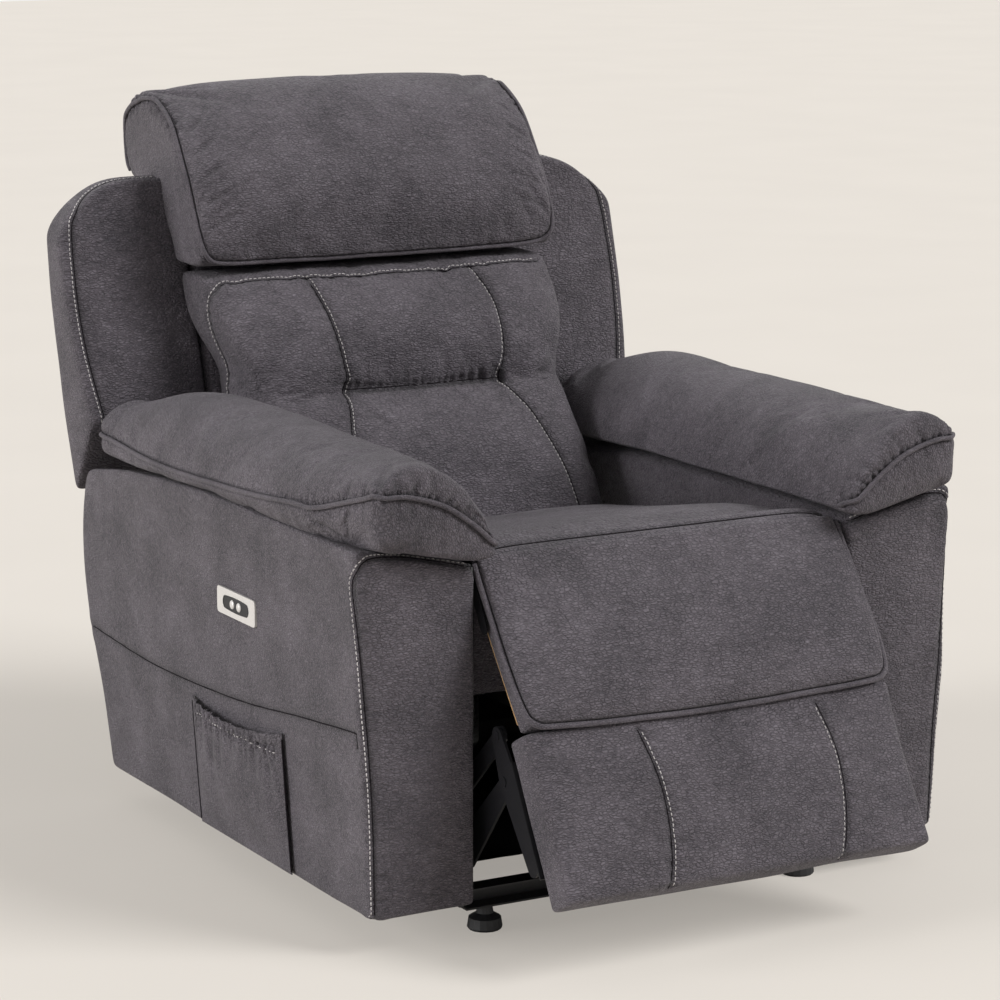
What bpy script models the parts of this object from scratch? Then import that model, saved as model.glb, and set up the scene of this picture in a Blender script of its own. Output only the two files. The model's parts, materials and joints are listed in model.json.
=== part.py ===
"""Power recliner armchair, modelled as an assembly of separate pieces.

Chair coordinates: X to the sitter's left hand side seen from the front (the viewer's right), the front
faces -Y, +Z is up and the floor is z = 0. Points of the side view are (y, z) pairs. Lengths are in metres.
The chair stands upright with its footrest a little open, and every moving group hangs from an empty that
sits on its joint axis.
"""

import math

import bmesh
import bpy
from mathutils import Matrix, Vector

# ---------------------------------------------------------------- driving dimensions
DATUM_Y = -0.0199             # moves the chair so that the middle of its box is at y = 0
SEAT_GAP = 0.2905            # half the clear width between the arms
ARM_WIDTH = 0.152            # arm box, across, at its foot
ARM_FLARE = 0.021            # how much wider the arm box is at its top
ARM_FRONT = -0.42
ARM_REAR = 0.44
ARM_REAR_BULGE = 0.062
ARM_FOOT = 0.05
ARM_TOP = 0.525
PAD_FRONT = -0.452
PAD_REAR = 0.42
PAD_OUTER = 0.478
PAD_INNER = 0.262
PAD_CROWN = 0.114
SEAT_FRONT = -0.362
SEAT_REAR = 0.165
SEAT_TOP_FRONT = 0.506
SEAT_TOP_REAR = 0.436
SEAT_HALF = 0.284

BACK_LEAN = math.radians(16.6)
BACK_FOOT = 0.40             # lower end of the back's core
BACK_TOP = 0.915
BACK_SKIRT_FOOT = 0.25       # lower end of the skirt that hangs from the outside back
BACK_PLANE_Y = 0.385         # y of the back plane at BACK_FOOT
CORE_HALF = 0.268
WING_HALF = 0.474
WING_FOOT = 0.45
HEADREST_HALF = 0.300
HEADREST_TOP = 1.062
LUMBAR_HALF_LOW = 0.255
LUMBAR_HALF_HIGH = 0.292

FLAP_LEAN = math.radians(37)
FLAP_LENGTH = 0.2287
FLAP_HINGE = (-0.394, 0.492)
PANEL_LEAN = math.radians(29)
PANEL_LENGTH = 0.215
PANEL_TOP = (-0.5067, 0.2816)
PANEL_HALF = 0.2825

# mechanism: layers across the chair, counted from the arm inwards
SHEET = 0.003                # side plate
BAR = 0.004                  # link bars
PLATE_OUT = SEAT_GAP - 0.0017
PLATE_IN = PLATE_OUT - SHEET
OUTER_BAR = (PLATE_IN - 0.0023 - BAR, PLATE_IN - 0.0023)
INNER_BAR = (OUTER_BAR[0] - 0.0015 - BAR, OUTER_BAR[0] - 0.0015)
BAR_HALF = 0.0125
PIN_R = 0.004
PIN_HEAD_R = 0.0075
RIVET_HEAD = 0.0012
HOLE_R = 0.0047
CONTROL_PLAY = 0.0048        # radial room of the control links' end pins in the carrier links
GUIDE_PLAY = 0.0015          # radial room of the brackets' lower pins in the guide links
SEAT_CLEARANCE = 0.0003      # left between touching pieces
LINK_RIVET_SPAN = (INNER_BAR[0] - SEAT_CLEARANCE, OUTER_BAR[1] + 0.0002)

LIFT_PIVOT = (-0.234, 0.340)
CARRIER_VECTOR = (-0.160, 0.152)      # from the lift link's end to the footrest bracket's pivot
CONTROL_OFFSET = (-0.055, 0.020)      # from the lift link to the control link
GUIDE_STEP = 0.060                    # distance of the guide link's pivots from the carrier's
RECLINE_PIVOT = (0.220, 0.345)
RECLINE_CRANK = (-0.020, -0.080)
RECLINE_LINK = (-0.200, -0.005)
CRANK_LENGTH = 0.060
CRANK_TILT = math.radians(13.6)

RAIL_FOOT = 0.033
RAIL_HEIGHT = 0.028
RAIL_DEPTH = 0.030
FRONT_RAIL_Y = -0.385
GLIDE_X = 0.250
REAR_RAIL_Y = 0.330
SEAT_RAIL_Z = 0.3555
SEAT_RAIL_HEIGHT = 0.032
SEAT_RAIL_WIDTH = 0.030
SEAT_FRAME_MARGIN = 0.0215   # room left between the seat frame and the link bars
SEAT_FRAME_HALF = INNER_BAR[0] - SEAT_FRAME_MARGIN
SEAT_TABS_Y = (-0.190, 0.080)
SPRING_WIRE_R = 0.0018
SPRING_SPACING = 0.085
TRACK_Z = 0.195
TRACK_HALF = 0.018
TRACK_HEIGHT = 0.026
GEARBOX_FRONT = 0.1253
GEARBOX_REAR = 0.190
REAR_TUBE = (0.235, 0.2075)
TUBE_R = 0.0125
DRIVE_TUBE_R = 0.011

STUD_R = 0.0045
STUD_HOLE_R = 0.0050
ARM_STUDS = ((-0.120, 0.110), (0.150, 0.110), (0.150, 0.300))
SWITCH_CENTRE = (-0.0615, 0.401)
SWITCH_FACE = 0.4612         # where the switch plate lies on the arm's outer side
POCKET_FRONT = -0.19
POCKET_REAR = 0.10
POCKET_FOOT = 0.054
POCKET_TOP = 0.252
POCKET_BULGE = 0.012

MATERIALS = {
    "upholstery": ((0.105, 0.095, 0.102), 0.85, 0.0),
    "upholstery_dark": ((0.060, 0.054, 0.058), 0.9, 0.0),
    "black_steel": ((0.015, 0.015, 0.016), 0.45, 0.6),
    "zinc_steel": ((0.45, 0.45, 0.44), 0.38, 1.0),
    "spring_steel": ((0.20, 0.20, 0.21), 0.35, 1.0),
    "timber": ((0.46, 0.31, 0.17), 0.7, 0.0),
    "black_plastic": ((0.02, 0.02, 0.022), 0.5, 0.0),
    "switch_metal": ((0.62, 0.61, 0.60), 0.32, 0.7),
}


# ---------------------------------------------------------------- scene and helpers
for old in list(bpy.data.objects):
    bpy.data.objects.remove(old)

PARTS = bpy.data.collections.new("recliner_armchair")
CUTTERS = bpy.data.collections.new("cutters")
for collection in (PARTS, CUTTERS):
    bpy.context.scene.collection.children.link(collection)


def make_material(name, color, roughness, metallic):
    material = bpy.data.materials.new(name)
    material.use_nodes = True
    shader = material.node_tree.nodes["Principled BSDF"]
    shader.inputs["Base Color"].default_value = (*color, 1.0)
    shader.inputs["Roughness"].default_value = roughness
    shader.inputs["Metallic"].default_value = metallic
    return material


SHADERS = {name: make_material(name, *values) for name, values in MATERIALS.items()}


CHAIR = bpy.data.objects.new("chair", None)
CHAIR.location = (0.0, DATUM_Y, 0.0)
PARTS.objects.link(CHAIR)


def joint_empty(name, at):
    """An empty at chair point at, which carries one moving group."""
    empty = bpy.data.objects.new(name, None)
    empty.location = at
    empty.empty_display_size = 0.05
    empty.parent = CHAIR
    PARTS.objects.link(empty)
    return empty


def add_part(name, data, material, group=None, matrix=None):
    """Links data as the part called name, placed by matrix in chair coordinates under its group's empty."""
    part = bpy.data.objects.new(name, data)
    PARTS.objects.link(part)
    data.materials.append(SHADERS[material])
    part.parent = group or CHAIR
    if group:
        part.matrix_parent_inverse = Matrix.Translation(-group.location)
    part.matrix_basis = matrix or Matrix()
    return part


def add_cutter(name, data, matrix=None):
    """A cutter stands in chair coordinates under the chair's empty and is never shown."""
    cutter = bpy.data.objects.new(name, data)
    CUTTERS.objects.link(cutter)
    cutter.parent = CHAIR
    cutter.matrix_basis = matrix or Matrix()
    cutter.hide_render = True
    cutter.display_type = "WIRE"
    return cutter


def boolean(part, cutter, operation="DIFFERENCE"):
    modifier = part.modifiers.new(f"{operation.lower()} {cutter.name}", "BOOLEAN")
    modifier.operation = operation
    modifier.object = cutter


def bevel(part, width, segments=2, angle=30):
    modifier = part.modifiers.new("edges", "BEVEL")
    modifier.width = width
    modifier.segments = segments
    modifier.limit_method = "ANGLE"
    modifier.angle_limit = math.radians(angle)


def subdivide(part, levels=1):
    modifier = part.modifiers.new("soft", "SUBSURF")
    modifier.levels = levels
    modifier.render_levels = levels


def box_mesh(name, low, high):
    """A box between two corners."""
    bm = bmesh.new()
    bmesh.ops.create_cube(bm, size=1.0)
    size = [high[i] - low[i] for i in range(3)]
    middle = [(high[i] + low[i]) / 2 for i in range(3)]
    bmesh.ops.scale(bm, vec=size, verts=bm.verts)
    bmesh.ops.translate(bm, vec=middle, verts=bm.verts)
    mesh = bpy.data.meshes.new(name)
    bm.to_mesh(mesh)
    bm.free()
    return mesh


def cylinder_mesh(name, rods, sides=16):
    """Round rods as one mesh: each is (start point, end point, radius)."""
    bm = bmesh.new()
    for start, end, radius in rods:
        start, end = Vector(start), Vector(end)
        axis = end - start
        turn = axis.to_track_quat("Z", "Y").to_matrix().to_4x4()
        bmesh.ops.create_cone(
            bm, cap_ends=True, segments=sides, radius1=radius, radius2=radius, depth=axis.length,
            matrix=Matrix.Translation((start + end) / 2) @ turn)
    mesh = bpy.data.meshes.new(name)
    bm.to_mesh(mesh)
    bm.free()
    mesh.shade_smooth()
    mesh.set_sharp_from_angle(angle=math.radians(40))
    return mesh


def hull_outline(pivots, radius, arc_steps=5):
    """Outline of a flat bar: the convex band that goes round circles of one radius about its pivots."""
    centre = Vector((sum(p[0] for p in pivots), sum(p[1] for p in pivots))) / len(pivots)
    ring = sorted((Vector(p) for p in pivots), key=lambda p: math.atan2(p.y - centre.y, p.x - centre.x))
    outline = []
    for i, corner in enumerate(ring):
        before = corner - ring[i - 1]
        after = ring[(i + 1) % len(ring)] - corner
        start = math.atan2(before.y, before.x) - math.pi / 2
        sweep = (math.atan2(after.y, after.x) - math.atan2(before.y, before.x)) % (2 * math.pi)
        for k in range(arc_steps + 1):
            angle = start + sweep * k / arc_steps
            outline.append((corner.x + radius * math.cos(angle), corner.y + radius * math.sin(angle)))
    return outline


def circle(centre, radius, sides=12):
    return [(centre[0] + radius * math.cos(2 * math.pi * k / sides),
             centre[1] + radius * math.sin(2 * math.pi * k / sides)) for k in range(sides)]


def rounded(points, radius, steps=3):
    """A closed outline through points with its corners rounded."""
    outline = []
    for i, point in enumerate(points):
        corner = Vector(point)
        to_before = (Vector(points[i - 1]) - corner)
        to_after = (Vector(points[(i + 1) % len(points)]) - corner)
        reach = min(radius, to_before.length / 2.2, to_after.length / 2.2)
        first = corner + to_before.normalized() * reach
        last = corner + to_after.normalized() * reach
        for k in range(steps + 1):
            t = k / steps
            outline.append(tuple(first * (1 - t) ** 2 + corner * 2 * t * (1 - t) + last * t ** 2))
    return outline


def flat_curve(name, outlines, thickness):
    """A 2D curve filled on both faces; the outlines after the first are its holes."""
    curve = bpy.data.curves.new(name, "CURVE")
    curve.dimensions = "2D"
    curve.fill_mode = "BOTH"
    curve.extrude = thickness / 2
    for points in outlines:
        spline = curve.splines.new("POLY")
        spline.points.add(len(points) - 1)
        for spline_point, (a, b) in zip(spline.points, points):
            spline_point.co = (a, b, 0.0, 1.0)
        spline.use_cyclic_u = True
    return curve


def side_view(x_middle):
    """Turns a flat outline into the side view: its X becomes Y, its Y becomes Z."""
    return Matrix(((0, 0, 1, x_middle), (1, 0, 0, 0), (0, 1, 0, 0), (0, 0, 0, 1)))


def front_view(y_middle):
    """Turns a flat outline into the front view: its X stays X, its Y becomes Z."""
    return Matrix(((1, 0, 0, 0), (0, 0, -1, y_middle), (0, 1, 0, 0), (0, 0, 0, 1)))


def plate(name, outlines, layer, side, material, group=None):
    """A flat sheet in the side view that fills the layer (inner x, outer x) on one side of the chair."""
    middle = side * (layer[0] + layer[1]) / 2
    return add_part(name, flat_curve(name, outlines, layer[1] - layer[0]), material, group, side_view(middle))


def extrusion(name, outlines, x_from, x_to, material, group=None):
    middle = (x_from + x_to) / 2
    return add_part(name, flat_curve(name, outlines, abs(x_to - x_from)), material, group, side_view(middle))


def meshed(part):
    """Replaces a curve part by its own mesh with the caps welded, so that it can be cut or joined."""
    bpy.context.view_layer.update()
    evaluated = part.evaluated_get(bpy.context.evaluated_depsgraph_get())
    mesh = bpy.data.meshes.new_from_object(evaluated)
    bm = bmesh.new()
    bm.from_mesh(mesh)
    bmesh.ops.remove_doubles(bm, verts=bm.verts, dist=0.00001)
    bm.transform(part.matrix_basis)
    bm.to_mesh(mesh)
    bm.free()
    solid = bpy.data.objects.new("solid", mesh)
    part.users_collection[0].objects.link(solid)
    solid.parent = part.parent
    solid.matrix_parent_inverse = part.matrix_parent_inverse.copy()
    solid.hide_render = part.hide_render
    solid.display_type = part.display_type
    name = part.name
    bpy.data.objects.remove(part)
    solid.name = name
    return solid


def soft_form(name, cuts, shape, material, group=None, levels=1):
    """A cushion: a cube cut into a cage at the given places along its three axes, whose points are then
    moved by shape(u, v, w), each from -1 to 1, and smoothed by subdivision."""
    bm = bmesh.new()
    bmesh.ops.create_cube(bm, size=2.0)
    for axis, places in enumerate(cuts):
        normal = Vector([float(i == axis) for i in range(3)])
        for place in places:
            everything = bm.verts[:] + bm.edges[:] + bm.faces[:]
            bmesh.ops.bisect_plane(bm, geom=everything, plane_co=normal * place, plane_no=normal)
    for vertex in bm.verts:
        vertex.co = Vector(shape(*vertex.co))
    bmesh.ops.recalc_face_normals(bm, faces=bm.faces)
    if bm.calc_volume(signed=True) < 0:
        bmesh.ops.reverse_faces(bm, faces=bm.faces)
    mesh = bpy.data.meshes.new(name)
    bm.to_mesh(mesh)
    bm.free()
    mesh.shade_smooth()
    part = add_part(name, mesh, material, group)
    subdivide(part, levels)
    return part


def turned(name, profile, axis_matrix, material, group=None, steps=12):
    """A turned solid: profile is (radius, height) points from top to bottom, screwed about local Z."""
    mesh = bpy.data.meshes.new(name)
    points = [(radius, 0.0, height) for radius, height in profile]
    mesh.from_pydata(points, [(i, i + 1) for i in range(len(points) - 1)], [])
    part = add_part(name, mesh, material, group, axis_matrix)
    screw = part.modifiers.new("turn", "SCREW")
    screw.steps = steps
    screw.render_steps = steps
    screw.use_merge_vertices = True
    screw.merge_threshold = 0.00001
    return part


def mix(a, b, t):
    return a + (b - a) * t


def smooth(t):
    t = min(1.0, max(0.0, t))
    return t * t * (3 - 2 * t)


def add(p, q, scale=1.0):
    return (p[0] + q[0] * scale, p[1] + q[1] * scale)


def down_along(lean):
    """Unit vector of the side view that hangs down and leans to the front."""
    return (-math.sin(lean), -math.cos(lean))


def face_of(lean):
    """Unit vector square to down_along, towards the front."""
    return (-math.cos(lean), math.sin(lean))


def on_panel(origin, lean, s, t):
    """Point at distance s down a leaning panel and t in front of its back face."""
    return add(add(origin, down_along(lean), s), face_of(lean), t)


# ---------------------------------------------------------------- pivots of the mechanism
FOOT_PIVOT = on_panel(PANEL_TOP, PANEL_LEAN, 0.03, -0.045)
LIFT_END = add(FOOT_PIVOT, CARRIER_VECTOR, -1)
LIFT_LENGTH = math.dist(LIFT_PIVOT, LIFT_END)
LIFT_DIRECTION = ((LIFT_END[0] - LIFT_PIVOT[0]) / LIFT_LENGTH, (LIFT_END[1] - LIFT_PIVOT[1]) / LIFT_LENGTH)
CONTROL_PIVOT = add(LIFT_PIVOT, CONTROL_OFFSET)
CONTROL_END = add(LIFT_END, CONTROL_OFFSET)
GUIDE_PIVOT = add(LIFT_END, LIFT_DIRECTION, -GUIDE_STEP)
GUIDE_END = add(FOOT_PIVOT, LIFT_DIRECTION, -GUIDE_STEP)
RECLINE_END = add(RECLINE_PIVOT, RECLINE_CRANK)
BELLCRANK_PIVOT = add(RECLINE_PIVOT, RECLINE_LINK)
BELLCRANK_END = add(RECLINE_END, RECLINE_LINK)
CRANK_PIN = add(LIFT_PIVOT, (math.sin(CRANK_TILT), -math.cos(CRANK_TILT)), CRANK_LENGTH)

LIFT = joint_empty("footrest_fold_axis", (0, *LIFT_PIVOT))
CONTROL = joint_empty("control_links_axis", (0, *CONTROL_PIVOT))
CARRIER = joint_empty("carrier_links_axis", (0, *LIFT_END))
GUIDE = joint_empty("guide_links_axis", (0, *GUIDE_PIVOT))
FOOTREST = joint_empty("footrest_axis", (0, *FOOT_PIVOT))
FLAP = joint_empty("flap_axis", (0, *FLAP_HINGE))
CARRIAGE = joint_empty("carriage_slide", (0, CRANK_PIN[0], TRACK_Z))
BACKREST = joint_empty("recline_axis", (0, *RECLINE_PIVOT))
BELLCRANK = joint_empty("bellcrank_axis", (0, *BELLCRANK_PIVOT))
RECLINE_BAR = joint_empty("recline_link_axis", (0, *RECLINE_END))
BUTTONS = {name: joint_empty(f"{name}_slide", (-SWITCH_FACE, SWITCH_CENTRE[0] + dy, SWITCH_CENTRE[1]))
           for name, dy in (("button_open", -0.0105), ("button_close", 0.0105))}
SIDES = (("left", -1), ("right", 1))


# ---------------------------------------------------------------- mechanism
def spun(name, solids, sides):
    """Round solids as one mesh. Each is (axis, centre, profile): the profile's (radius, place along the axis)
    points run from one end of the axis to the other."""
    bm = bmesh.new()
    for axis, centre, profile in solids:
        along = Vector(axis)
        across = Vector((0, 1, 0)) if abs(along.x) > 0.5 else Vector((1, 0, 0))
        points = [bm.verts.new(Vector(centre) + across * radius + along * place) for radius, place in profile]
        edges = [bm.edges.new(pair) for pair in zip(points, points[1:])]
        bmesh.ops.spin(bm, geom=points + edges, cent=centre, axis=axis, angle=2 * math.pi, steps=sides,
                       use_merge=True)
    bmesh.ops.remove_doubles(bm, verts=bm.verts, dist=0.00001)
    bmesh.ops.recalc_face_normals(bm, faces=bm.faces)
    mesh = bpy.data.meshes.new(name)
    bm.to_mesh(mesh)
    bm.free()
    mesh.shade_smooth()
    mesh.set_sharp_from_angle(angle=math.radians(40))
    return mesh


def rivet_profile(x_from, x_to):
    """A shank between two places with a flat head outside each."""
    return [(0.0, x_from - RIVET_HEAD), (PIN_HEAD_R, x_from - RIVET_HEAD), (PIN_HEAD_R, x_from), (PIN_R, x_from),
            (PIN_R, x_to), (PIN_HEAD_R, x_to), (PIN_HEAD_R, x_to + RIVET_HEAD), (0.0, x_to + RIVET_HEAD)]


def riveted(part, name, pivots, side, x_from, x_to):
    """Joins rivets along X to the bar that carries them."""
    if pivots:
        profile = rivet_profile(x_from, x_to)
        mesh = spun(f"{name}_rivets", [((side, 0, 0), (0, *pivot), profile) for pivot in pivots], 8)
        boolean(part, add_cutter(f"{name}_rivets", mesh), "UNION")


def link(name, pivots, holes, rivets, layer, side, group):
    """A flat steel bar round its pivots, with clearance holes and with the rivets that it carries."""
    outlines = [hull_outline(pivots, BAR_HALF)] + [circle(p, r) for p, r in holes]
    bar = meshed(plate(name, outlines, layer, side, "black_steel", group))
    riveted(bar, name, rivets, side, *LINK_RIVET_SPAN)
    return bar


def add_links():
    """The footrest's link bars: two four-bar stages on each side of the chair."""
    for word, side in SIDES:
        link(f"lift_link_{word}", [LIFT_PIVOT, LIFT_END], [(LIFT_PIVOT, HOLE_R)],
             [LIFT_END, GUIDE_PIVOT], OUTER_BAR, side, LIFT)
        link(f"carrier_link_{word}", [LIFT_END, CONTROL_END, FOOT_PIVOT],
             [(LIFT_END, HOLE_R), (CONTROL_END, PIN_R + CONTROL_PLAY), (FOOT_PIVOT, HOLE_R)],
             [], INNER_BAR, side, CARRIER)
        link(f"control_link_{word}", [CONTROL_PIVOT, CONTROL_END], [(CONTROL_PIVOT, HOLE_R)],
             [CONTROL_END], OUTER_BAR, side, CONTROL)
        link(f"guide_link_{word}", [GUIDE_PIVOT, GUIDE_END],
             [(GUIDE_PIVOT, HOLE_R), (GUIDE_END, PIN_R + GUIDE_PLAY)], [], INNER_BAR, side, GUIDE)


def cut_sockets(tube, pivot):
    """Recesses in both ends of a tube for the heads of the rivets that it turns about."""
    depth = SEAT_CLEARANCE + RIVET_HEAD + 0.0015
    for word, side in SIDES:
        name = f"{tube.name}_socket_{word}"
        start, end = (side * (OUTER_BAR[0] - depth), *pivot), (side * (OUTER_BAR[0] - 0.00005), *pivot)
        boolean(tube, add_cutter(name, cylinder_mesh(name, [(start, end, PIN_HEAD_R + 0.0008)], 12)))


def add_drive_tube():
    """The tube that ties the two lift links, with the crank that the carriage pushes."""
    reach = OUTER_BAR[0] - SEAT_CLEARANCE
    tube = add_part("drive_tube", cylinder_mesh("drive_tube", [
        ((-reach, *LIFT_PIVOT), (reach, *LIFT_PIVOT), DRIVE_TUBE_R)]), "black_steel", LIFT)
    cut_sockets(tube, LIFT_PIVOT)
    arm = add_cutter("drive_tube_crank", flat_curve("crank", [hull_outline([LIFT_PIVOT, CRANK_PIN], 0.008)], 0.008),
                     side_view(0.0))
    pin = add_cutter("drive_tube_pin", cylinder_mesh("drive_tube_pin", [
        ((-0.0125, *CRANK_PIN), (0.0125, *CRANK_PIN), PIN_R)], 12))
    boolean(tube, meshed(arm), "UNION")
    boolean(tube, pin, "UNION")


def add_carriage():
    """The nut block that runs along the track, with a fork whose slots hold the crank pin."""
    y, z = CRANK_PIN[0], TRACK_Z
    block = add_part("drive_carriage", box_mesh("drive_carriage", (-0.0148, y - 0.024, z + 0.0035),
                                                (0.0148, y + 0.024, z + 0.0275)), "black_plastic", CARRIAGE)
    bore = add_cutter("carriage_bore", cylinder_mesh("carriage_bore", [
        ((0, y - 0.05, z + 0.014), (0, y + 0.05, z + 0.014), 0.0058)], 16))
    low = LIFT_PIVOT[1] - CRANK_LENGTH
    high = LIFT_PIVOT[1] - CRANK_LENGTH * math.cos(math.radians(39))
    slot = hull_outline([(y, low - 0.001), (y, high + 0.001)], 0.0062)
    arm_outline = rounded([(y - 0.015, z + 0.020), (y + 0.015, z + 0.020), (y + 0.0135, high + 0.0155),
                           (y - 0.0135, high + 0.0155)], 0.008)
    for side in (-1, 1):
        arm = add_cutter(f"carriage_arm_{side}", flat_curve("carriage_arm", [arm_outline, slot], 0.004),
                         side_view(side * 0.0085))
        boolean(block, meshed(arm), "UNION")
    boolean(block, bore)


def add_footrest():
    for word, side in SIDES:
        name = f"footrest_bracket_{word}"
        corners = [FOOT_PIVOT, GUIDE_END, on_panel(PANEL_TOP, PANEL_LEAN, 0.022, -0.026),
                   on_panel(PANEL_TOP, PANEL_LEAN, 0.150, -0.026)]
        web = meshed(plate(name, [hull_outline(corners, BAR_HALF)], OUTER_BAR, side, "black_steel", FOOTREST))
        riveted(web, name, [FOOT_PIVOT, GUIDE_END], side, *LINK_RIVET_SPAN)
        flange_outline = [on_panel(PANEL_TOP, PANEL_LEAN, s, t) for s, t in
                          ((0.012, -0.0158), (0.168, -0.0158), (0.168, -0.0126), (0.012, -0.0126))]
        x_in, x_out = 0.238, OUTER_BAR[1] - 0.0002
        flange = add_cutter(f"{name}_flange", flat_curve(name, [flange_outline], x_out - x_in),
                            side_view(side * (x_in + x_out) / 2))
        boolean(web, meshed(flange), "UNION")
    board = [on_panel(PANEL_TOP, PANEL_LEAN, s, t) for s, t in
             ((0.010, -0.0123), (0.205, -0.0123), (0.205, -0.0003), (0.010, -0.0003))]
    extrusion("footrest_board", [rounded(board, 0.003, 1)], -0.270, 0.270, "timber", FOOTREST)

    def pad(u, v, w):
        s = mix(-0.004, PANEL_LENGTH, (1 - w) / 2)
        crown = 0.012 * (1 - u ** 4) * (1 - w ** 4)
        t = mix(0.0003, 0.040 + crown, (1 - v) / 2)
        y, z = on_panel(PANEL_TOP, PANEL_LEAN, s, t)
        return (u * (PANEL_HALF - 0.004 * (1 - w * w) * (1 - v) / 2), y, z)

    soft_form("footrest_pad", ((-0.93, 0.0, 0.93), (0.3,), (-0.9, 0.0, 0.93)),
              pad, "upholstery", FOOTREST)


def add_flap():
    board = [on_panel(FLAP_HINGE, FLAP_LEAN, s, t) for s, t in
             ((0.020, -0.0205), (0.210, -0.0205), (0.210, -0.0118), (0.020, -0.0118))]
    extrusion("flap_board", [rounded(board, 0.002, 1)], -0.276, 0.276, "timber", FLAP)

    def pad(u, v, w):
        s = mix(-0.018, FLAP_LENGTH, (1 - w) / 2)
        swell = 0.014 * math.sin(math.pi * min(1.0, max(0.0, s / FLAP_LENGTH)))
        t = mix(-0.0115, 0.0245 + swell * (1 - 0.4 * u * u), (1 - v) / 2)
        y, z = on_panel(FLAP_HINGE, FLAP_LEAN, s, t)
        return (u * PANEL_HALF, y, z)

    soft_form("flap_pad", ((-0.94, 0.0, 0.94), (0.3,), (-0.93, 0.0, 0.9)),
              pad, "upholstery", FLAP)
    ear_in, ear_out = PANEL_HALF + SEAT_CLEARANCE, PLATE_IN - 0.0006
    lower = on_panel(FLAP_HINGE, FLAP_LEAN, 0.075, -0.010)
    for word, side in SIDES:
        name = f"flap_hinge_{word}"
        ear = meshed(plate(name, [hull_outline([FLAP_HINGE, lower], 0.0085)], (ear_in, ear_out), side,
                           "black_steel", FLAP))
        pin = add_cutter(f"{name}_pin", cylinder_mesh(f"{name}_pin", [
            ((side * (ear_in + 0.0003), *FLAP_HINGE), (side * (PLATE_OUT + 0.0008), *FLAP_HINGE), PIN_R)], 10))
        boolean(ear, pin, "UNION")


def side_plate_outline():
    foot = RAIL_FOOT + 0.001
    top = SEAT_RAIL_Z + 0.018
    finger = 0.0130
    hinge_y, hinge_z = FLAP_HINGE
    corners = [
        (FRONT_RAIL_Y, foot), (REAR_RAIL_Y + RAIL_DEPTH, foot), (REAR_RAIL_Y + RAIL_DEPTH, foot + 0.045),
        (RECLINE_PIVOT[0] + 0.045, foot + 0.085), (RECLINE_PIVOT[0] + 0.028, RECLINE_PIVOT[1] - 0.02),
        (RECLINE_PIVOT[0] + 0.016, top), (hinge_y + finger + 0.004, top), (hinge_y + finger, hinge_z + finger),
        (hinge_y - finger, hinge_z + finger), (hinge_y - finger, top - 0.030), (CONTROL_PIVOT[0] - 0.020, top - 0.055),
        (LIFT_PIVOT[0] - 0.020, 0.240), (LIFT_PIVOT[0] - 0.030, foot + 0.060), (FRONT_RAIL_Y, foot + 0.030)]
    return rounded(corners, 0.018, 2)


def cut_windows(part, outlines, x):
    """Cuts openings with the given side-view outlines through a flat part near x."""
    for index, outline in enumerate(outlines):
        name = f"{part.name}_window_{index}"
        boolean(part, meshed(add_cutter(name, flat_curve(name, [outline], 0.08), side_view(x))))


def add_side_plates():
    """The mechanism's side plates with the rivets that carry the bars and the studs that hold the arms."""
    windows = [rounded([(a, b), (a + 0.10, b), (a + 0.10, b + 0.10), (a, b + 0.10)], 0.02)
               for a, b in ((-0.150, 0.150), (0.010, 0.150))]
    pivots = (LIFT_PIVOT, CONTROL_PIVOT, RECLINE_PIVOT, BELLCRANK_PIVOT)
    stud_in, stud_out = PLATE_IN + 0.001, SEAT_GAP + 0.033
    stud = [(0.0, stud_in), (STUD_R, stud_in), (STUD_R, stud_out), (0.0, stud_out)]
    for word, side in SIDES:
        name = f"side_plate_{word}"
        sheet = meshed(plate(name, [side_plate_outline(), circle(FLAP_HINGE, HOLE_R)],
                             (PLATE_IN, PLATE_OUT), side, "black_steel"))
        cut_windows(sheet, windows, side * PLATE_IN)
        riveted(sheet, name, pivots, side, OUTER_BAR[0] - SEAT_CLEARANCE, PLATE_OUT - 0.0002)
        studs = spun(f"{name}_studs", [((side, 0, 0), (0, *place), stud) for place in ARM_STUDS], 8)
        boolean(sheet, add_cutter(f"{name}_studs", studs), "UNION")
        x_from, x_to = sorted((side * (SEAT_FRAME_HALF + SEAT_CLEARANCE), side * (PLATE_IN + 0.001)))
        for index, y in enumerate(SEAT_TABS_Y):
            level = SEAT_RAIL_Z + 0.012
            tab = box_mesh(f"{name}_tab_{index}", (x_from, y - 0.018, level), (x_to, y + 0.018, level + 0.004))
            boolean(sheet, add_cutter(f"{name}_tab_{index}", tab), "UNION")


def channel(low, high, wall, open_to):
    """U-shaped section between two corners; open_to is the side that is left out: +x, -x or +y."""
    (a0, b0), (a1, b1) = low, high
    if open_to == "+y":
        return [(a0, b0), (a1, b0), (a1, b1), (a1 - wall, b1), (a1 - wall, b0 + wall), (a0 + wall, b0 + wall),
                (a0 + wall, b1), (a0, b1)]
    if open_to == "+x":
        return [(a0, b0), (a1, b0), (a1, b0 + wall), (a0 + wall, b0 + wall), (a0 + wall, b1 - wall),
                (a1, b1 - wall), (a1, b1), (a0, b1)]
    return [(a0, b0), (a1, b0), (a1, b1), (a0, b1), (a0, b1 - wall), (a1 - wall, b1 - wall),
            (a1 - wall, b0 + wall), (a0, b0 + wall)]


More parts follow.
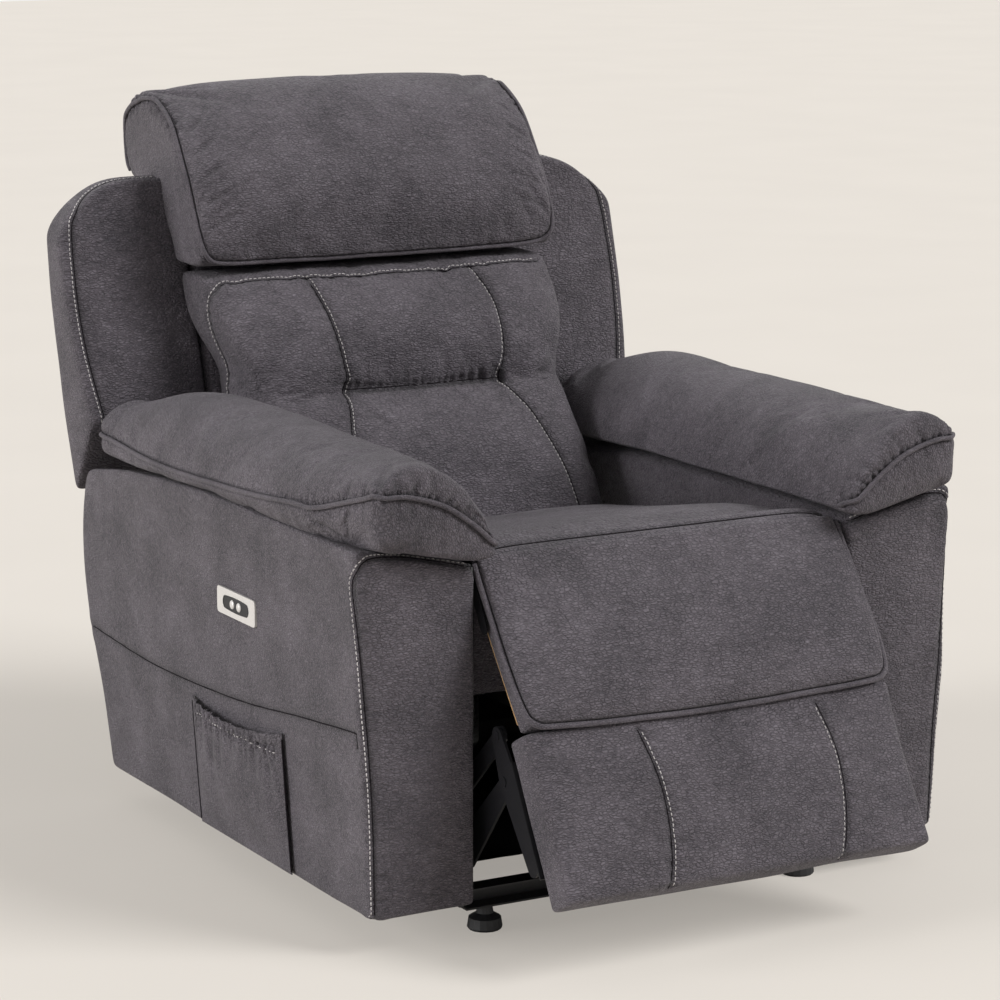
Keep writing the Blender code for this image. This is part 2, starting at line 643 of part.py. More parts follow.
def add_base():
    wall = 0.0025
    low, high = RAIL_FOOT, RAIL_FOOT + RAIL_HEIGHT
    reach = PLATE_IN - SEAT_CLEARANCE
    extrusion("front_rail", [channel((FRONT_RAIL_Y, low), (FRONT_RAIL_Y + RAIL_DEPTH, high), wall, "-x")],
              -reach, reach, "black_steel")
    extrusion("rear_rail", [channel((REAR_RAIL_Y, low), (REAR_RAIL_Y + RAIL_DEPTH, high), wall, "+x")],
              -reach, reach, "black_steel")
    add_glides()
    tube_reach = PLATE_IN - SEAT_CLEARANCE
    add_part("rear_cross_tube", cylinder_mesh("rear_cross_tube", [
        ((-tube_reach, *REAR_TUBE), (tube_reach, *REAR_TUBE), TUBE_R)], 14), "black_steel")


def add_dust_shield():
    """The folded sheet that closes the base behind the rear cross tube, down to the rear rail."""
    wall, gap = 0.0016, SEAT_CLEARANCE
    y_tube = REAR_TUBE[0] + TUBE_R + gap
    y_rail, z_rail = REAR_RAIL_Y - gap - wall, RAIL_FOOT + 0.6 * RAIL_HEIGHT
    z_top, z_fold = SEAT_RAIL_Z - 0.015, REAR_TUBE[1] - 0.004
    inner = [(y_tube, z_top), (y_tube, z_fold), (y_rail, z_rail + 0.020), (y_rail, z_rail)]
    outer = [(y + wall, z) for y, z in inner]
    extrusion("rear_dust_shield", [inner + outer[::-1]], -CORE_HALF, CORE_HALF, "black_plastic")


def add_glides():
    """Plastic floor glides under the ends of the rails."""
    top = RAIL_FOOT - SEAT_CLEARANCE
    profile = [(0.0, top), (0.010, top), (0.012, 0.022), (0.022, 0.016), (0.024, 0.003), (0.022, 0.0), (0.0, 0.0)]
    for word, side in SIDES:
        for place, y in (("front", FRONT_RAIL_Y), ("rear", REAR_RAIL_Y)):
            turned(f"floor_glide_{place}_{word}", profile,
                   Matrix.Translation((side * GLIDE_X, y + RAIL_DEPTH / 2, 0)), "black_plastic", None, 16)


def add_actuator():
    """Track with its front foot, lead screw, gearbox, motor and power inlet, along the middle of the chair."""
    front = FRONT_RAIL_Y + RAIL_DEPTH + SEAT_CLEARANCE
    rear = GEARBOX_FRONT - SEAT_CLEARANCE
    section = channel((-TRACK_HALF, TRACK_Z), (TRACK_HALF, TRACK_Z + TRACK_HEIGHT), 0.0025, "+y")
    y_from = front + 0.001
    track = meshed(add_part("actuator_track", flat_curve("track", [section], rear - y_from), "zinc_steel", None,
                            front_view((y_from + rear) / 2)))
    foot = add_cutter("track_foot", box_mesh("track_foot", (-0.014, front, RAIL_FOOT + 0.004),
                                             (0.014, front + 0.003, TRACK_Z + 0.012)))
    boolean(track, foot, "UNION")
    axis_z = TRACK_Z + 0.014
    add_part("lead_screw", cylinder_mesh("lead_screw", [
        ((0, front + 0.008, axis_z), (0, rear, axis_z), 0.0052)], 12), "spring_steel")
    low, high = (-0.034, GEARBOX_FRONT, TRACK_Z - 0.024), (0.034, GEARBOX_REAR, TRACK_Z + 0.040)
    gearbox = add_part("gearbox", box_mesh("gearbox", low, high), "black_plastic")
    bevel(gearbox, 0.006)
    lug = add_cutter("gearbox_lug", box_mesh("gearbox_lug", (-0.012, GEARBOX_REAR - 0.01, REAR_TUBE[1] - 0.010),
                                             (0.012, REAR_TUBE[0] - 0.004, REAR_TUBE[1] + 0.010)))
    saddle = add_cutter("gearbox_saddle", cylinder_mesh("gearbox_saddle", [
        ((-0.02, *REAR_TUBE), (0.02, *REAR_TUBE), TUBE_R + 0.0004)], 14))
    boolean(gearbox, lug, "UNION")
    boolean(gearbox, saddle)
    middle = (GEARBOX_FRONT + GEARBOX_REAR) / 2
    inlet = add_cutter("power_inlet", cylinder_mesh("power_inlet", [
        ((high[0] - 0.004, middle, TRACK_Z), (high[0] + 0.016, middle, TRACK_Z), 0.0075)], 12))
    socket = add_cutter("power_socket", cylinder_mesh("power_socket", [
        ((high[0] + 0.006, middle, TRACK_Z), (high[0] + 0.03, middle, TRACK_Z), 0.0048)], 12))
    boolean(gearbox, inlet, "UNION")
    boolean(gearbox, socket)
    turned("motor", [(0.0, low[2] - SEAT_CLEARANCE), (0.024, low[2] - SEAT_CLEARANCE), (0.028, low[2] - 0.006),
                     (0.028, low[2] - 0.072), (0.024, low[2] - 0.080), (0.010, low[2] - 0.080),
                     (0.010, low[2] - 0.086), (0.0, low[2] - 0.086)],
           Matrix.Translation((0, middle, 0)), "zinc_steel", None, 16)


# ---------------------------------------------------------------- seat
def add_seat():
    z0, z1 = SEAT_RAIL_Z, SEAT_RAIL_Z + SEAT_RAIL_HEIGHT
    y_front, y_rear = -0.358, 0.150
    rail = SEAT_RAIL_WIDTH
    x_in, x_out = SEAT_FRAME_HALF - rail, SEAT_FRAME_HALF
    gap = SEAT_CLEARANCE
    add_part("seat_front_rail", box_mesh("seat_front_rail", (-x_out, y_front, z0), (x_out, y_front + rail, z1)),
             "timber")
    add_part("seat_rear_rail", box_mesh("seat_rear_rail", (-x_out, y_rear - rail, z0), (x_out, y_rear, z1)),
             "timber")
    for word, side in SIDES:
        low = (min(side * x_in, side * x_out), y_front + rail + gap, z0)
        high = (max(side * x_in, side * x_out), y_rear - rail - gap, z1)
        add_part(f"seat_side_rail_{word}", box_mesh(f"seat_side_rail_{word}", low, high), "timber")
    add_springs(y_front + rail, y_rear - rail, z1)

    def cushion(u, v, w):
        y = mix(SEAT_FRONT, SEAT_REAR, (v + 1) / 2)
        top = mix(SEAT_TOP_FRONT, SEAT_TOP_REAR, smooth((y - SEAT_FRONT) / (0.10 - SEAT_FRONT)))
        top -= 0.030 * smooth((y - 0.10) / 0.065)
        crown = 0.010 * (1 - u ** 4) * (1 - v ** 4)
        low = z1 + 0.0045
        z = mix(low, top + crown, (w + 1) / 2)
        return (u * (SEAT_HALF - 0.003 * (1 - v * v)), y, z)

    soft_form("seat_cushion", ((-0.94, 0.0, 0.94), (-0.94, -0.2, 0.5, 0.82), (-0.8, 0.75)),
              cushion, "upholstery")


def wire_mesh(name, points, radius, level):
    """A round wire through (x, y) points at one height, as a welded mesh."""
    curve = bpy.data.curves.new(name, "CURVE")
    curve.dimensions = "3D"
    curve.bevel_depth = radius
    curve.bevel_resolution = 0
    curve.use_fill_caps = True
    spline = curve.splines.new("POLY")
    spline.points.add(len(points) - 1)
    for spline_point, (x, y) in zip(spline.points, points):
        spline_point.co = (x, y, level, 1.0)
    return meshed(add_cutter(name, curve))


def add_springs(y_from, y_to, z):
    """The spring unit: sinuous springs from the front rail to the rear rail, tied by two stay wires."""
    level = z + SPRING_WIRE_R + SEAT_CLEARANCE
    bends, half, rows = 9, 0.020, 5
    pitch = (y_to - y_from - 0.03) / bends
    unit = None
    for index in range(rows):
        x0 = (index - (rows - 1) / 2) * SPRING_SPACING
        points = [(x0, y_from - 0.016)]
        for bend in range(bends + 1):
            y = y_from + 0.015 + bend * pitch
            across = half * (1 if bend % 2 else -1)
            points.append((x0 + across, y - pitch * 0.22))
            points.append((x0 + across, y + pitch * 0.22))
        points.append((x0, y_to + 0.016))
        spring = wire_mesh(f"seat_spring_{index}", points, SPRING_WIRE_R, level)
        if unit:
            boolean(unit, spring, "UNION")
        else:
            unit = add_part("seat_spring_unit", spring.data.copy(), "spring_steel")
    reach = (rows - 1) / 2 * SPRING_SPACING + half
    for index, share in enumerate((0.3, 0.7)):
        y = mix(y_from, y_to, share)
        stay = wire_mesh(f"stay_wire_{index}", [(-reach, y), (reach, y)], SPRING_WIRE_R * 0.8, level)
        boolean(unit, stay, "UNION")


# ---------------------------------------------------------------- arms
def arm_outer(z):
    """Outer face of the arm box at height z: it flares towards the top and swells a little in between."""
    t = (z - ARM_FOOT) / (ARM_TOP - ARM_FOOT)
    return SEAT_GAP + ARM_WIDTH + ARM_FLARE * t + 0.004 * math.sin(math.pi * min(1.0, max(0.0, t)))


def arm_top(u, y):
    return ARM_TOP + 0.018 * u - 0.022 * smooth((y - 0.05) / 0.40) - 0.018 * smooth((y - 0.36) / 0.12)


def add_arm(word, side):
    name = f"arm_{word}"

    def box(u, v, w):
        t = (w + 1) / 2
        rear = ARM_REAR + ARM_REAR_BULGE * math.sin(math.pi * min(1.0, 0.94 * t) ** 1.8)
        y = mix(ARM_FRONT - 0.008 * (1 - u * u) * (1 - w * w), rear, (v + 1) / 2)
        z = mix(ARM_FOOT, arm_top(u, y), t)
        x = mix(SEAT_GAP, arm_outer(z), (u + 1) / 2)
        return (side * x, y, z)

    arm = soft_form(name, ((-0.84, 0.84), (-0.95, 0.0, 0.93), (-0.93, 0.2, 0.9)), box, "upholstery")
    inner = SEAT_GAP + 0.015
    cavity = sorted((side * inner, side * (inner + 0.1245)))
    boolean(arm, add_cutter(f"{name}_cavity", box_mesh(f"{name}_cavity", (cavity[0], -0.3805, -0.02),
                                                       (cavity[1], 0.4005, 0.4705))))
    stud_holes = [((side * (SEAT_GAP - 0.01), y, z), (side * (inner + 0.01), y, z), STUD_HOLE_R) for y, z in ARM_STUDS]
    boolean(arm, add_cutter(f"{name}_stud_holes", cylinder_mesh(f"{name}_stud_holes", stud_holes, 10)))
    if side < 0:
        y, z = SWITCH_CENTRE
        boolean(arm, add_cutter("switch_slot", box_mesh("switch_slot", (-0.50, y - 0.0455, z - 0.0135),
                                                        (-0.42, y + 0.0455, z + 0.0135))))
    windows = [rounded([(a, 0.14), (a + 0.12, 0.14), (a + 0.12, 0.26), (a, 0.26)], 0.02, 2)
               for a in (-0.33, -0.06, 0.20)]
    studs = [circle(p, STUD_HOLE_R, 10) for p in ARM_STUDS]
    outline = [(-0.380, 0.062), (0.400, 0.062), (0.400, 0.470), (-0.380, 0.470)]
    frame = meshed(plate(f"arm_frame_{word}", [outline] + studs, (inner + 0.0005, inner + 0.0225), side, "timber"))
    cut_windows(frame, windows, side * inner)
    shelf = sorted((side * (inner + 0.015), side * (inner + 0.124)))
    boolean(frame, add_cutter(f"arm_shelf_{word}", box_mesh(f"arm_shelf_{word}", (shelf[0], -0.3798, 0.456),
                                                            (shelf[1], 0.3998, 0.4698))), "UNION")


def add_arm_pad(word, side):
    def pad(u, v, w):
        y = mix(PAD_FRONT, PAD_REAR, (v + 1) / 2)
        rear = smooth((v - 0.35) / 0.65)
        front = smooth((-v - 0.55) / 0.45)
        outer = PAD_OUTER - 0.020 * rear - 0.030 * front
        inner = PAD_INNER + 0.035 * rear + 0.012 * front
        x = mix(inner, outer, (u + 1) / 2)
        low = arm_top(u, min(0.3, max(ARM_FRONT, y))) + 0.006 + 0.016 * smooth((-u - 0.66) / 0.34)
        edge = 0.560 + 0.022 * u + front * (0.006 + 0.018 * (u + 1))
        crown = PAD_CROWN * (1 - abs(u) ** 2.6) * (1 - 0.52 * rear ** 1.4) * (1 - 0.36 * front)
        z = mix(low, edge + crown, (w + 1) / 2)
        if w < 0:
            z -= 0.004 * front * (1 - u) / 2
        return (side * x, y, z)

    soft_form(f"arm_pad_{word}", ((-0.72, 0.0, 0.72), (-0.88, -0.5, 0.2, 0.8), (-0.3, 0.4)),
              pad, "upholstery")


def add_pocket():
    """A thin fabric pouch on the outer side of one arm, open at its top."""
    bm = bmesh.new()
    bmesh.ops.create_grid(bm, x_segments=8, y_segments=6, size=1.0)
    for vertex in bm.verts:
        a, b = vertex.co.x, vertex.co.y
        y = mix(POCKET_FRONT, POCKET_REAR, (a + 1) / 2)
        rise = (b + 1) / 2
        z = mix(POCKET_FOOT, POCKET_TOP - 0.012 * (1 - a * a) - 0.012 * (a + 1) / 2, rise)
        bulge = POCKET_BULGE * (1 - a ** 4) * smooth(rise * 2.2)
        vertex.co = (-(arm_outer(z) + 0.0006 + bulge), y, z)
    bmesh.ops.recalc_face_normals(bm, faces=bm.faces)
    outward = sum((f.normal.x for f in bm.faces))
    if outward > 0:
        bmesh.ops.reverse_faces(bm, faces=bm.faces)
    mesh = bpy.data.meshes.new("side_pocket")
    bm.to_mesh(mesh)
    bm.free()
    mesh.shade_smooth()
    pocket = add_part("side_pocket", mesh, "upholstery")
    wall = pocket.modifiers.new("cloth", "SOLIDIFY")
    wall.thickness = 0.0018
    wall.offset = 1.0
    wall.use_even_offset = True


def add_switch():
    y, z = SWITCH_CENTRE
    face = -SWITCH_FACE
    outline = rounded([(y - 0.060, z - 0.0185), (y + 0.060, z - 0.0185), (y + 0.060, z + 0.0185),
                       (y - 0.060, z + 0.0185)], 0.006)
    holes = [circle((y + dy, z), 0.0069, 16) for dy in (-0.0105, 0.0105)]
    plate("switch_plate", [outline] + holes, (SWITCH_FACE, SWITCH_FACE + 0.0035), -1, "switch_metal")
    housing = add_part("switch_housing", box_mesh("switch_housing", (face + 0.0003, y - 0.045, z - 0.013),
                                                  (face + 0.034, y + 0.045, z + 0.013)), "black_plastic")
    bores = [((face - 0.01, y + dy, z), (face + 0.0080, y + dy, z), 0.0069) for dy in (-0.0105, 0.0105)]
    boolean(housing, add_cutter("switch_bores", cylinder_mesh("switch_bores", bores, 16)))
    for (name, group), dy in zip(BUTTONS.items(), (-0.0105, 0.0105)):
        turned(name, [(0.0, 0.0060), (0.0040, 0.0058), (0.0058, 0.0050), (0.0064, 0.0040), (0.0064, -0.0055),
                      (0.0, -0.0055)],
               Matrix.Translation((face, y + dy, z)) @ Matrix.Rotation(math.radians(-90), 4, "Y"),
               "switch_metal", group, 16)


# ---------------------------------------------------------------- backrest
def back_plane(z):
    """y of the plane on which the back's cushions lie, at height z."""
    return BACK_PLANE_Y + (z - BACK_FOOT) * math.tan(BACK_LEAN)


def back_rear(z):
    """y of the outside back at height z: steeper than the front, so the back is thin at its top."""
    return mix(0.515, 0.590, (z - 0.44) / 0.47)


def add_back_frame():
    """Two timber posts joined by a top rail and a lower rail, all of them leaning with the back."""
    def leaning(z_low, z_high, front, rear):
        return [(back_plane(z_low) + front, z_low), (back_plane(z_low) + rear, z_low),
                (back_plane(z_high) + rear, z_high), (back_plane(z_high) + front, z_high)]

    x_in, x_out = 0.212, 0.2545
    post = leaning(0.410, 0.876, 0.0125, 0.0325)
    frame = meshed(plate("back_frame", [post], (x_in, x_out), 1, "timber", BACKREST))
    rails = [leaning(0.830, 0.872, 0.014, 0.031), leaning(0.432, 0.474, 0.014, 0.031)]
    pieces = [("back_post", post, -x_out, -x_in), ("back_top_rail", rails[0], -x_in - 0.01, x_in + 0.01),
              ("back_lower_rail", rails[1], -x_in - 0.01, x_in + 0.01)]
    for name, section, x_from, x_to in pieces:
        piece = add_cutter(name, flat_curve(name, [section], x_to - x_from), side_view((x_from + x_to) / 2))
        boolean(frame, meshed(piece), "UNION")


def add_back_core():
    def core(u, v, w):
        z = mix(BACK_FOOT, BACK_TOP, (w + 1) / 2)
        y = mix(back_plane(z), back_rear(z), (v + 1) / 2)
        return (u * CORE_HALF, y, z)

    body = soft_form("back_upholstery", ((-0.92, 0.92), (0.0,), (-0.92, 0.92)),
                     core, "upholstery", BACKREST)
    outline = [(back_plane(0.36) + 0.012, 0.36), (back_rear(0.36) - 0.012, 0.36),
               (back_rear(0.880) - 0.012, 0.880), (back_plane(0.880) + 0.012, 0.880)]
    cavity = add_cutter("back_cavity", flat_curve("back_cavity", [outline], 0.511), side_view(0.0))
    boolean(body, meshed(cavity))
    low, high = BACK_SKIRT_FOOT, BACK_FOOT + 0.06
    skirt = rounded([(back_rear(low) - 0.0105, low), (back_rear(low) - 0.002, low),
                     (back_rear(high) - 0.002, high), (back_rear(high) - 0.0105, high)], 0.003, 2)
    boolean(body, meshed(add_cutter("back_skirt", flat_curve("back_skirt", [skirt], 2 * (CORE_HALF - 0.014)),
                                    side_view(0.0))), "UNION")
    for word, side in SIDES:
        name = f"back_bracket_{word}"
        bolts = ((0.385, 0.425), (0.425, 0.500))
        corners = [RECLINE_END, RECLINE_PIVOT, *bolts]
        light_hole = circle(add(RECLINE_PIVOT, (0.095, 0.050)), 0.020)
        bracket = meshed(plate(name, [hull_outline(corners, BAR_HALF), circle(RECLINE_PIVOT, HOLE_R), light_hole],
                               OUTER_BAR, side, "black_steel", BACKREST))
        riveted(bracket, name, [RECLINE_END], side, *LINK_RIVET_SPAN)
        for index, (y, z) in enumerate(bolts):
            boss = add_cutter(f"{name}_boss_{index}", cylinder_mesh(f"{name}_boss_{index}", [
                ((side * (CORE_HALF + SEAT_CLEARANCE), y, z), (side * (OUTER_BAR[0] + 0.001), y, z), 0.009)], 12))
            boolean(bracket, boss, "UNION")


def add_wing(word, side):
    def wing(u, v, w):
        t = (w + 1) / 2
        across = (u + 1) / 2
        front_low, rear_low = WING_FOOT + 0.125, WING_FOOT
        low = mix(front_low, rear_low, (v + 1) / 2)
        top = BACK_TOP + 0.006 - 0.055 * max(0.0, (u - 0.2) / 0.8) ** 2.2
        z = mix(low, top, t)
        front = back_plane(z) + 0.0015
        y = mix(front, back_rear(z) + 0.001, (v + 1) / 2)
        half = WING_HALF - 0.012 * (1 - t) ** 1.5 + 0.004 * math.sin(math.pi * t)
        x = mix(CORE_HALF + 0.0008, half, across)
        return (side * x, y, z)

    soft_form(f"wing_{word}", ((-0.85, 0.8), (0.0,), (-0.9, -0.1, 0.6, 0.92)),
              wing, "upholstery", BACKREST)


def lumbar_front(z):
    """y of the lumbar cushion's face at height z, between the seat and the headrest."""
    low_y, low_z = 0.128, 0.424
    crease_y, crease_z = 0.270, 0.617
    top_y, top_z = 0.384, 0.783
    if z < crease_z:
        t = (z - low_z) / (crease_z - low_z)
        return mix(low_y, crease_y, t) - 0.026 * math.sin(math.pi * min(1.0, max(0.0, t)) ** 0.8)
    t = (z - crease_z) / (top_z - crease_z)
    return mix(crease_y, top_y, t) - 0.018 * math.sin(math.pi * min(1.0, t))


def add_lumbar():
    def lumbar(u, v, w):
        z = mix(0.424, 0.783, (w + 1) / 2)
        half = mix(LUMBAR_HALF_LOW, LUMBAR_HALF_HIGH, smooth((z - 0.645) / 0.06))
        x = u * half
        front = lumbar_front(z)
        near_crease = math.exp(-((z - 0.617) / 0.016) ** 2)
        front += 0.020 * near_crease * smooth((0.165 - abs(x)) / 0.04)
        front += 0.030 * smooth((abs(u) - 0.80) / 0.20)
        y = mix(front, back_plane(z) - 0.0006, (v + 1) / 2)
        return (x, y, z)

    soft_form("lumbar_cushion", ((-0.9, -0.47, 0.47, 0.9), (0.4,), (-0.9, -0.3, 0.02, 0.075, 0.14, 0.9)),
              lumbar, "upholstery", BACKREST)


def add_headrest():
    rows = ((0.797, 0.402, 0.500), (0.812, 0.382, 0.502), (0.860, 0.386, 0.514), (0.925, 0.418, 0.528),
            (0.948, 0.432, 0.556), (0.958, 0.440, 0.668), (1.000, 0.472, 0.690), (1.038, 0.515, 0.670),
            (HEADREST_TOP, 0.565, 0.630))

    def headrest(u, v, w):
        place = (w + 1) / 2 * (len(rows) - 1)
        index = min(int(round(place)), len(rows) - 1)
        z, front, rear = rows[index]
        ends = abs(u) ** 5
        front += 0.016 * ends
        z_drop = 0.014 * ends * smooth((z - 0.96) / 0.10)
        y = mix(front, rear, (v + 1) / 2)
        return (u * HEADREST_HALF, y, z - z_drop)

    levels = [-1 + 2 * k / (len(rows) - 1) for k in range(1, len(rows) - 1)]
    soft_form("headrest", ((-0.93, 0.0, 0.93), (0.0,), levels), headrest, "upholstery", BACKREST)


def add_recline_links():
    """The bellcranks on their torque tube and the bars that tie them to the back brackets."""
    reach = OUTER_BAR[0] + 0.001
    tube = add_part("recline_torque_tube", cylinder_mesh("recline_torque_tube", [
        ((-reach, *BELLCRANK_PIVOT), (reach, *BELLCRANK_PIVOT), 0.0100)], 14), "black_steel", BELLCRANK)
    for word, side in SIDES:
        name = f"bellcrank_{word}"
        arm = add_cutter(name, flat_curve(name, [hull_outline([BELLCRANK_PIVOT, BELLCRANK_END], BAR_HALF)], BAR),
                         side_view(side * sum(OUTER_BAR) / 2))
        boolean(tube, meshed(arm), "UNION")
        riveted(tube, name, [BELLCRANK_END], side, *LINK_RIVET_SPAN)
        hole = add_cutter(f"{name}_hole", cylinder_mesh(f"{name}_hole", [
            ((side * (OUTER_BAR[0] - 0.003), *BELLCRANK_PIVOT), (side * 0.3, *BELLCRANK_PIVOT), HOLE_R)], 12))
        boolean(tube, hole)
        link(f"recline_link_{word}", [RECLINE_END, BELLCRANK_END],
             [(RECLINE_END, HOLE_R), (BELLCRANK_END, HOLE_R)], [], INNER_BAR, side, RECLINE_BAR)
    cut_sockets(tube, BELLCRANK_PIVOT)


# ---------------------------------------------------------------- assembly
add_base()
add_dust_shield()
add_side_plates()
add_links()
add_drive_tube()
add_carriage()
add_actuator()
add_footrest()
add_flap()
add_seat()
for word, side in SIDES:
    add_arm(word, side)
    add_arm_pad(word, side)
    add_wing(word, side)
add_pocket()
add_switch()
add_back_frame()
add_back_core()
add_lumbar()
add_headrest()
add_recline_links()
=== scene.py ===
"""Dresses the power recliner armchair: upholstery, piping, topstitching, finishes of the mechanism and a stage.

Chair coordinates: +X is the viewer's right, the front faces -Y, +Z is up. Lengths are in metres.
"""
import json
import math

import bpy
import numpy as np
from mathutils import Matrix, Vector, noise
from mathutils.bvhtree import BVHTree


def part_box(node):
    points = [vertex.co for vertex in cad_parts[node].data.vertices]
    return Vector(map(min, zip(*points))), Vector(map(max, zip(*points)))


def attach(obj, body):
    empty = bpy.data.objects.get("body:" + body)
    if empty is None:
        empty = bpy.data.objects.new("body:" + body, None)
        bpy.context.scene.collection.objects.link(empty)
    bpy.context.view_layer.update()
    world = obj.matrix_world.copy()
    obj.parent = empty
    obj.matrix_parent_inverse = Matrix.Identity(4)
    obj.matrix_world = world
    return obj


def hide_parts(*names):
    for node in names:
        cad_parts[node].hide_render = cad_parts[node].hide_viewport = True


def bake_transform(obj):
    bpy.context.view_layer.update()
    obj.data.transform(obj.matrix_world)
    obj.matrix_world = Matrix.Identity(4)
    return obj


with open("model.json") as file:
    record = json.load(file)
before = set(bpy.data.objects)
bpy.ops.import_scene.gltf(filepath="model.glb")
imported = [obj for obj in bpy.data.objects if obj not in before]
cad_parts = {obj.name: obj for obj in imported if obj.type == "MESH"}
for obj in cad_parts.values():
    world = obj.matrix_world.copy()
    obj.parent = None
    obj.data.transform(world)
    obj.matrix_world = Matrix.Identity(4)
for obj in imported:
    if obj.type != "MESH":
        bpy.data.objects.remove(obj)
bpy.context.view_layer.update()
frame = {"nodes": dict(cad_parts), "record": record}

bl_info = {
    "name": "Recliner armchair",
    "version": (1, 0, 0),
    "blender": (4, 5, 0),
    "location": "3D View > Sidebar > Armchair",
    "description": "Upholsters and finishes a power recliner armchair on its steel and timber frame",
    "category": "Add Mesh",
}

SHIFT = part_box("front_rail")[0].y + 0.385     # chair coordinates to frame, along Y

# ---------------------------------------------------------------- sizes of the chair
SEAT_GAP = 0.2905             # half the clear width between the arms
SEAT_FOOT = 0.392
ARM_WIDTH = 0.152
ARM_FLARE = 0.021
ARM_FRONT = -0.42
ARM_REAR = 0.44
ARM_REAR_BULGE = 0.062
ARM_FOOT = 0.05
ARM_TOP = 0.525
PAD_FRONT = -0.452
PAD_REAR = 0.42
PAD_OUTER = 0.478
PAD_INNER = 0.262
PAD_CROWN = 0.097
SEAT_FRONT = -0.362
SEAT_REAR = 0.165
SEAT_TOP_FRONT = 0.506
SEAT_TOP_REAR = 0.436
SEAT_HALF = 0.284
BACK_LEAN = math.radians(16.6)
BACK_FOOT = 0.40
BACK_TOP = 0.915
SKIRT_FOOT = 0.25
BACK_PLANE_Y = 0.385
CORE_HALF = 0.268
WING_HALF = 0.474
WING_FOOT = 0.45
HEADREST_HALF = 0.300
HEADREST_TOP = 1.053
LUMBAR_HALF_LOW = 0.255
LUMBAR_HALF_HIGH = 0.292
FLAP_LEAN = math.radians(37)
FLAP_LENGTH = 0.2287
FLAP_HINGE = (-0.394, 0.492)
PANEL_LEAN = math.radians(29)
PANEL_LENGTH = 0.215
PANEL_TOP = (-0.5067, 0.2816)
PANEL_HALF = 0.2825
POCKET = {"front": -0.19, "rear": 0.10, "foot": 0.054, "top": 0.252, "bulge": 0.012}
SWITCH_CENTRE = (-0.0615, 0.401)
SWITCH_FACE = 0.4612
SWITCH_RING = (0.0395, 0.0095)                # half length and half height
FLAP_CORNER = 0.036                           # radius of the flap's lower corners
FLAP_RIM = 0.012                              # height of the flap's piping in front of its board
# Size and height of the near-black sheet under the frame, which is painted shade for the gap under the seat.
SHADE_SHEET = {"half": 0.272, "front": -0.20, "rear": 0.345, "z": 0.034}
CRISP = 0.0015                                # step of a seam line where sharp folds start from it
COVER_WALL = 0.0016                           # thickness of a single layer of the cover
SIDES = (("left", -1), ("right", 1))


def linear(code):
    """Linear red, green and blue of an sRGB hex colour."""
    values = [int(code[i:i + 2], 16) / 255 for i in (1, 3, 5)]
    return tuple(v / 12.92 if v <= 0.04045 else ((v + 0.055) / 1.055) ** 2.4 for v in values)


# ---------------------------------------------------------------- settings
class UpholsterySettings(bpy.types.PropertyGroup):
    """The cover cloth and the way it is sewn."""
    colour: bpy.props.FloatVectorProperty(
        name="Cover", description="Middle tone of the brushed microfibre", subtype="COLOR", size=3,
        min=0.0, max=1.0, default=linear("#544e55"))
    # Lightest tone: where the nap's own rubbed clouds are high, and on the raised tops of the grain as a
    # painted highlight.
    colour_light: bpy.props.FloatVectorProperty(
        name="Raised nap", description="Tone of the raised, rubbed nap", subtype="COLOR", size=3,
        min=0.0, max=1.0, default=linear("#716b73"))
    # Darkest tone: painted shade in the grain's crevices; taken down to 0.30 of itself it is also the painted
    # shade along seams, gathers and creases.
    colour_dark: bpy.props.FloatVectorProperty(
        name="Creases", description="Tone in the creases of the grain and along seams", subtype="COLOR",
        size=3, min=0.0, max=1.0, default=linear("#312d34"))
    grain: bpy.props.FloatProperty(
        name="Grain", description="Width of one wrinkle of the embossed grain", default=0.0036, min=0.0005,
        unit="LENGTH")
    grain_height: bpy.props.FloatProperty(
        name="Grain height", description="Depth of the embossed grain", default=0.0032, min=0.0,
        unit="LENGTH")
    piping: bpy.props.FloatProperty(
        name="Piping radius", description="Radius of the piping round the arm pads and headrest",
        default=0.0034, min=0.001, unit="LENGTH")
    flap_piping: bpy.props.FloatProperty(
        name="Flap piping radius", description="Radius of the thicker piping round the flap",
        default=0.0040, min=0.001, unit="LENGTH")
    gather: bpy.props.FloatProperty(
        name="Gather depth", description="Depth of the gathers beside the piping", default=0.0030, min=0.0,
        unit="LENGTH")


class StitchSettings(bpy.types.PropertyGroup):
    """The topstitching."""
    colour: bpy.props.FloatVectorProperty(
        name="Thread", description="Colour of the topstitching thread", subtype="COLOR", size=3,
        min=0.0, max=1.0, default=linear("#cfcaca"))
    pitch: bpy.props.FloatProperty(
        name="Pitch", description="Distance from one stitch to the next", default=0.0070, min=0.002,
        unit="LENGTH")
    length: bpy.props.FloatProperty(
        name="Length", description="Visible length of one stitch", default=0.0050, min=0.001,
        unit="LENGTH")
    radius: bpy.props.FloatProperty(
        name="Thread radius", description="Radius of the thread", default=0.00080, min=0.0002,
        unit="LENGTH")
    offset: bpy.props.FloatProperty(
        name="Offset", description="Distance of the stitches from their seam", default=0.0050, min=0.0,
        unit="LENGTH")


class FinishSettings(bpy.types.PropertyGroup):
    """Hard parts."""
    steel: bpy.props.FloatVectorProperty(
        name="Enamelled steel", description="Black enamel of the mechanism", subtype="COLOR", size=3,
        min=0.0, max=1.0, default=linear("#17171a"))
    timber: bpy.props.FloatVectorProperty(
        name="Plywood", description="Face veneer of the plywood frame", subtype="COLOR", size=3,
        min=0.0, max=1.0, default=linear("#b48f60"))
    switch: bpy.props.FloatVectorProperty(
        name="Switch plate", description="Satin lacquered switch plate", subtype="COLOR", size=3,
        min=0.0, max=1.0, default=linear("#d8d5d2"))


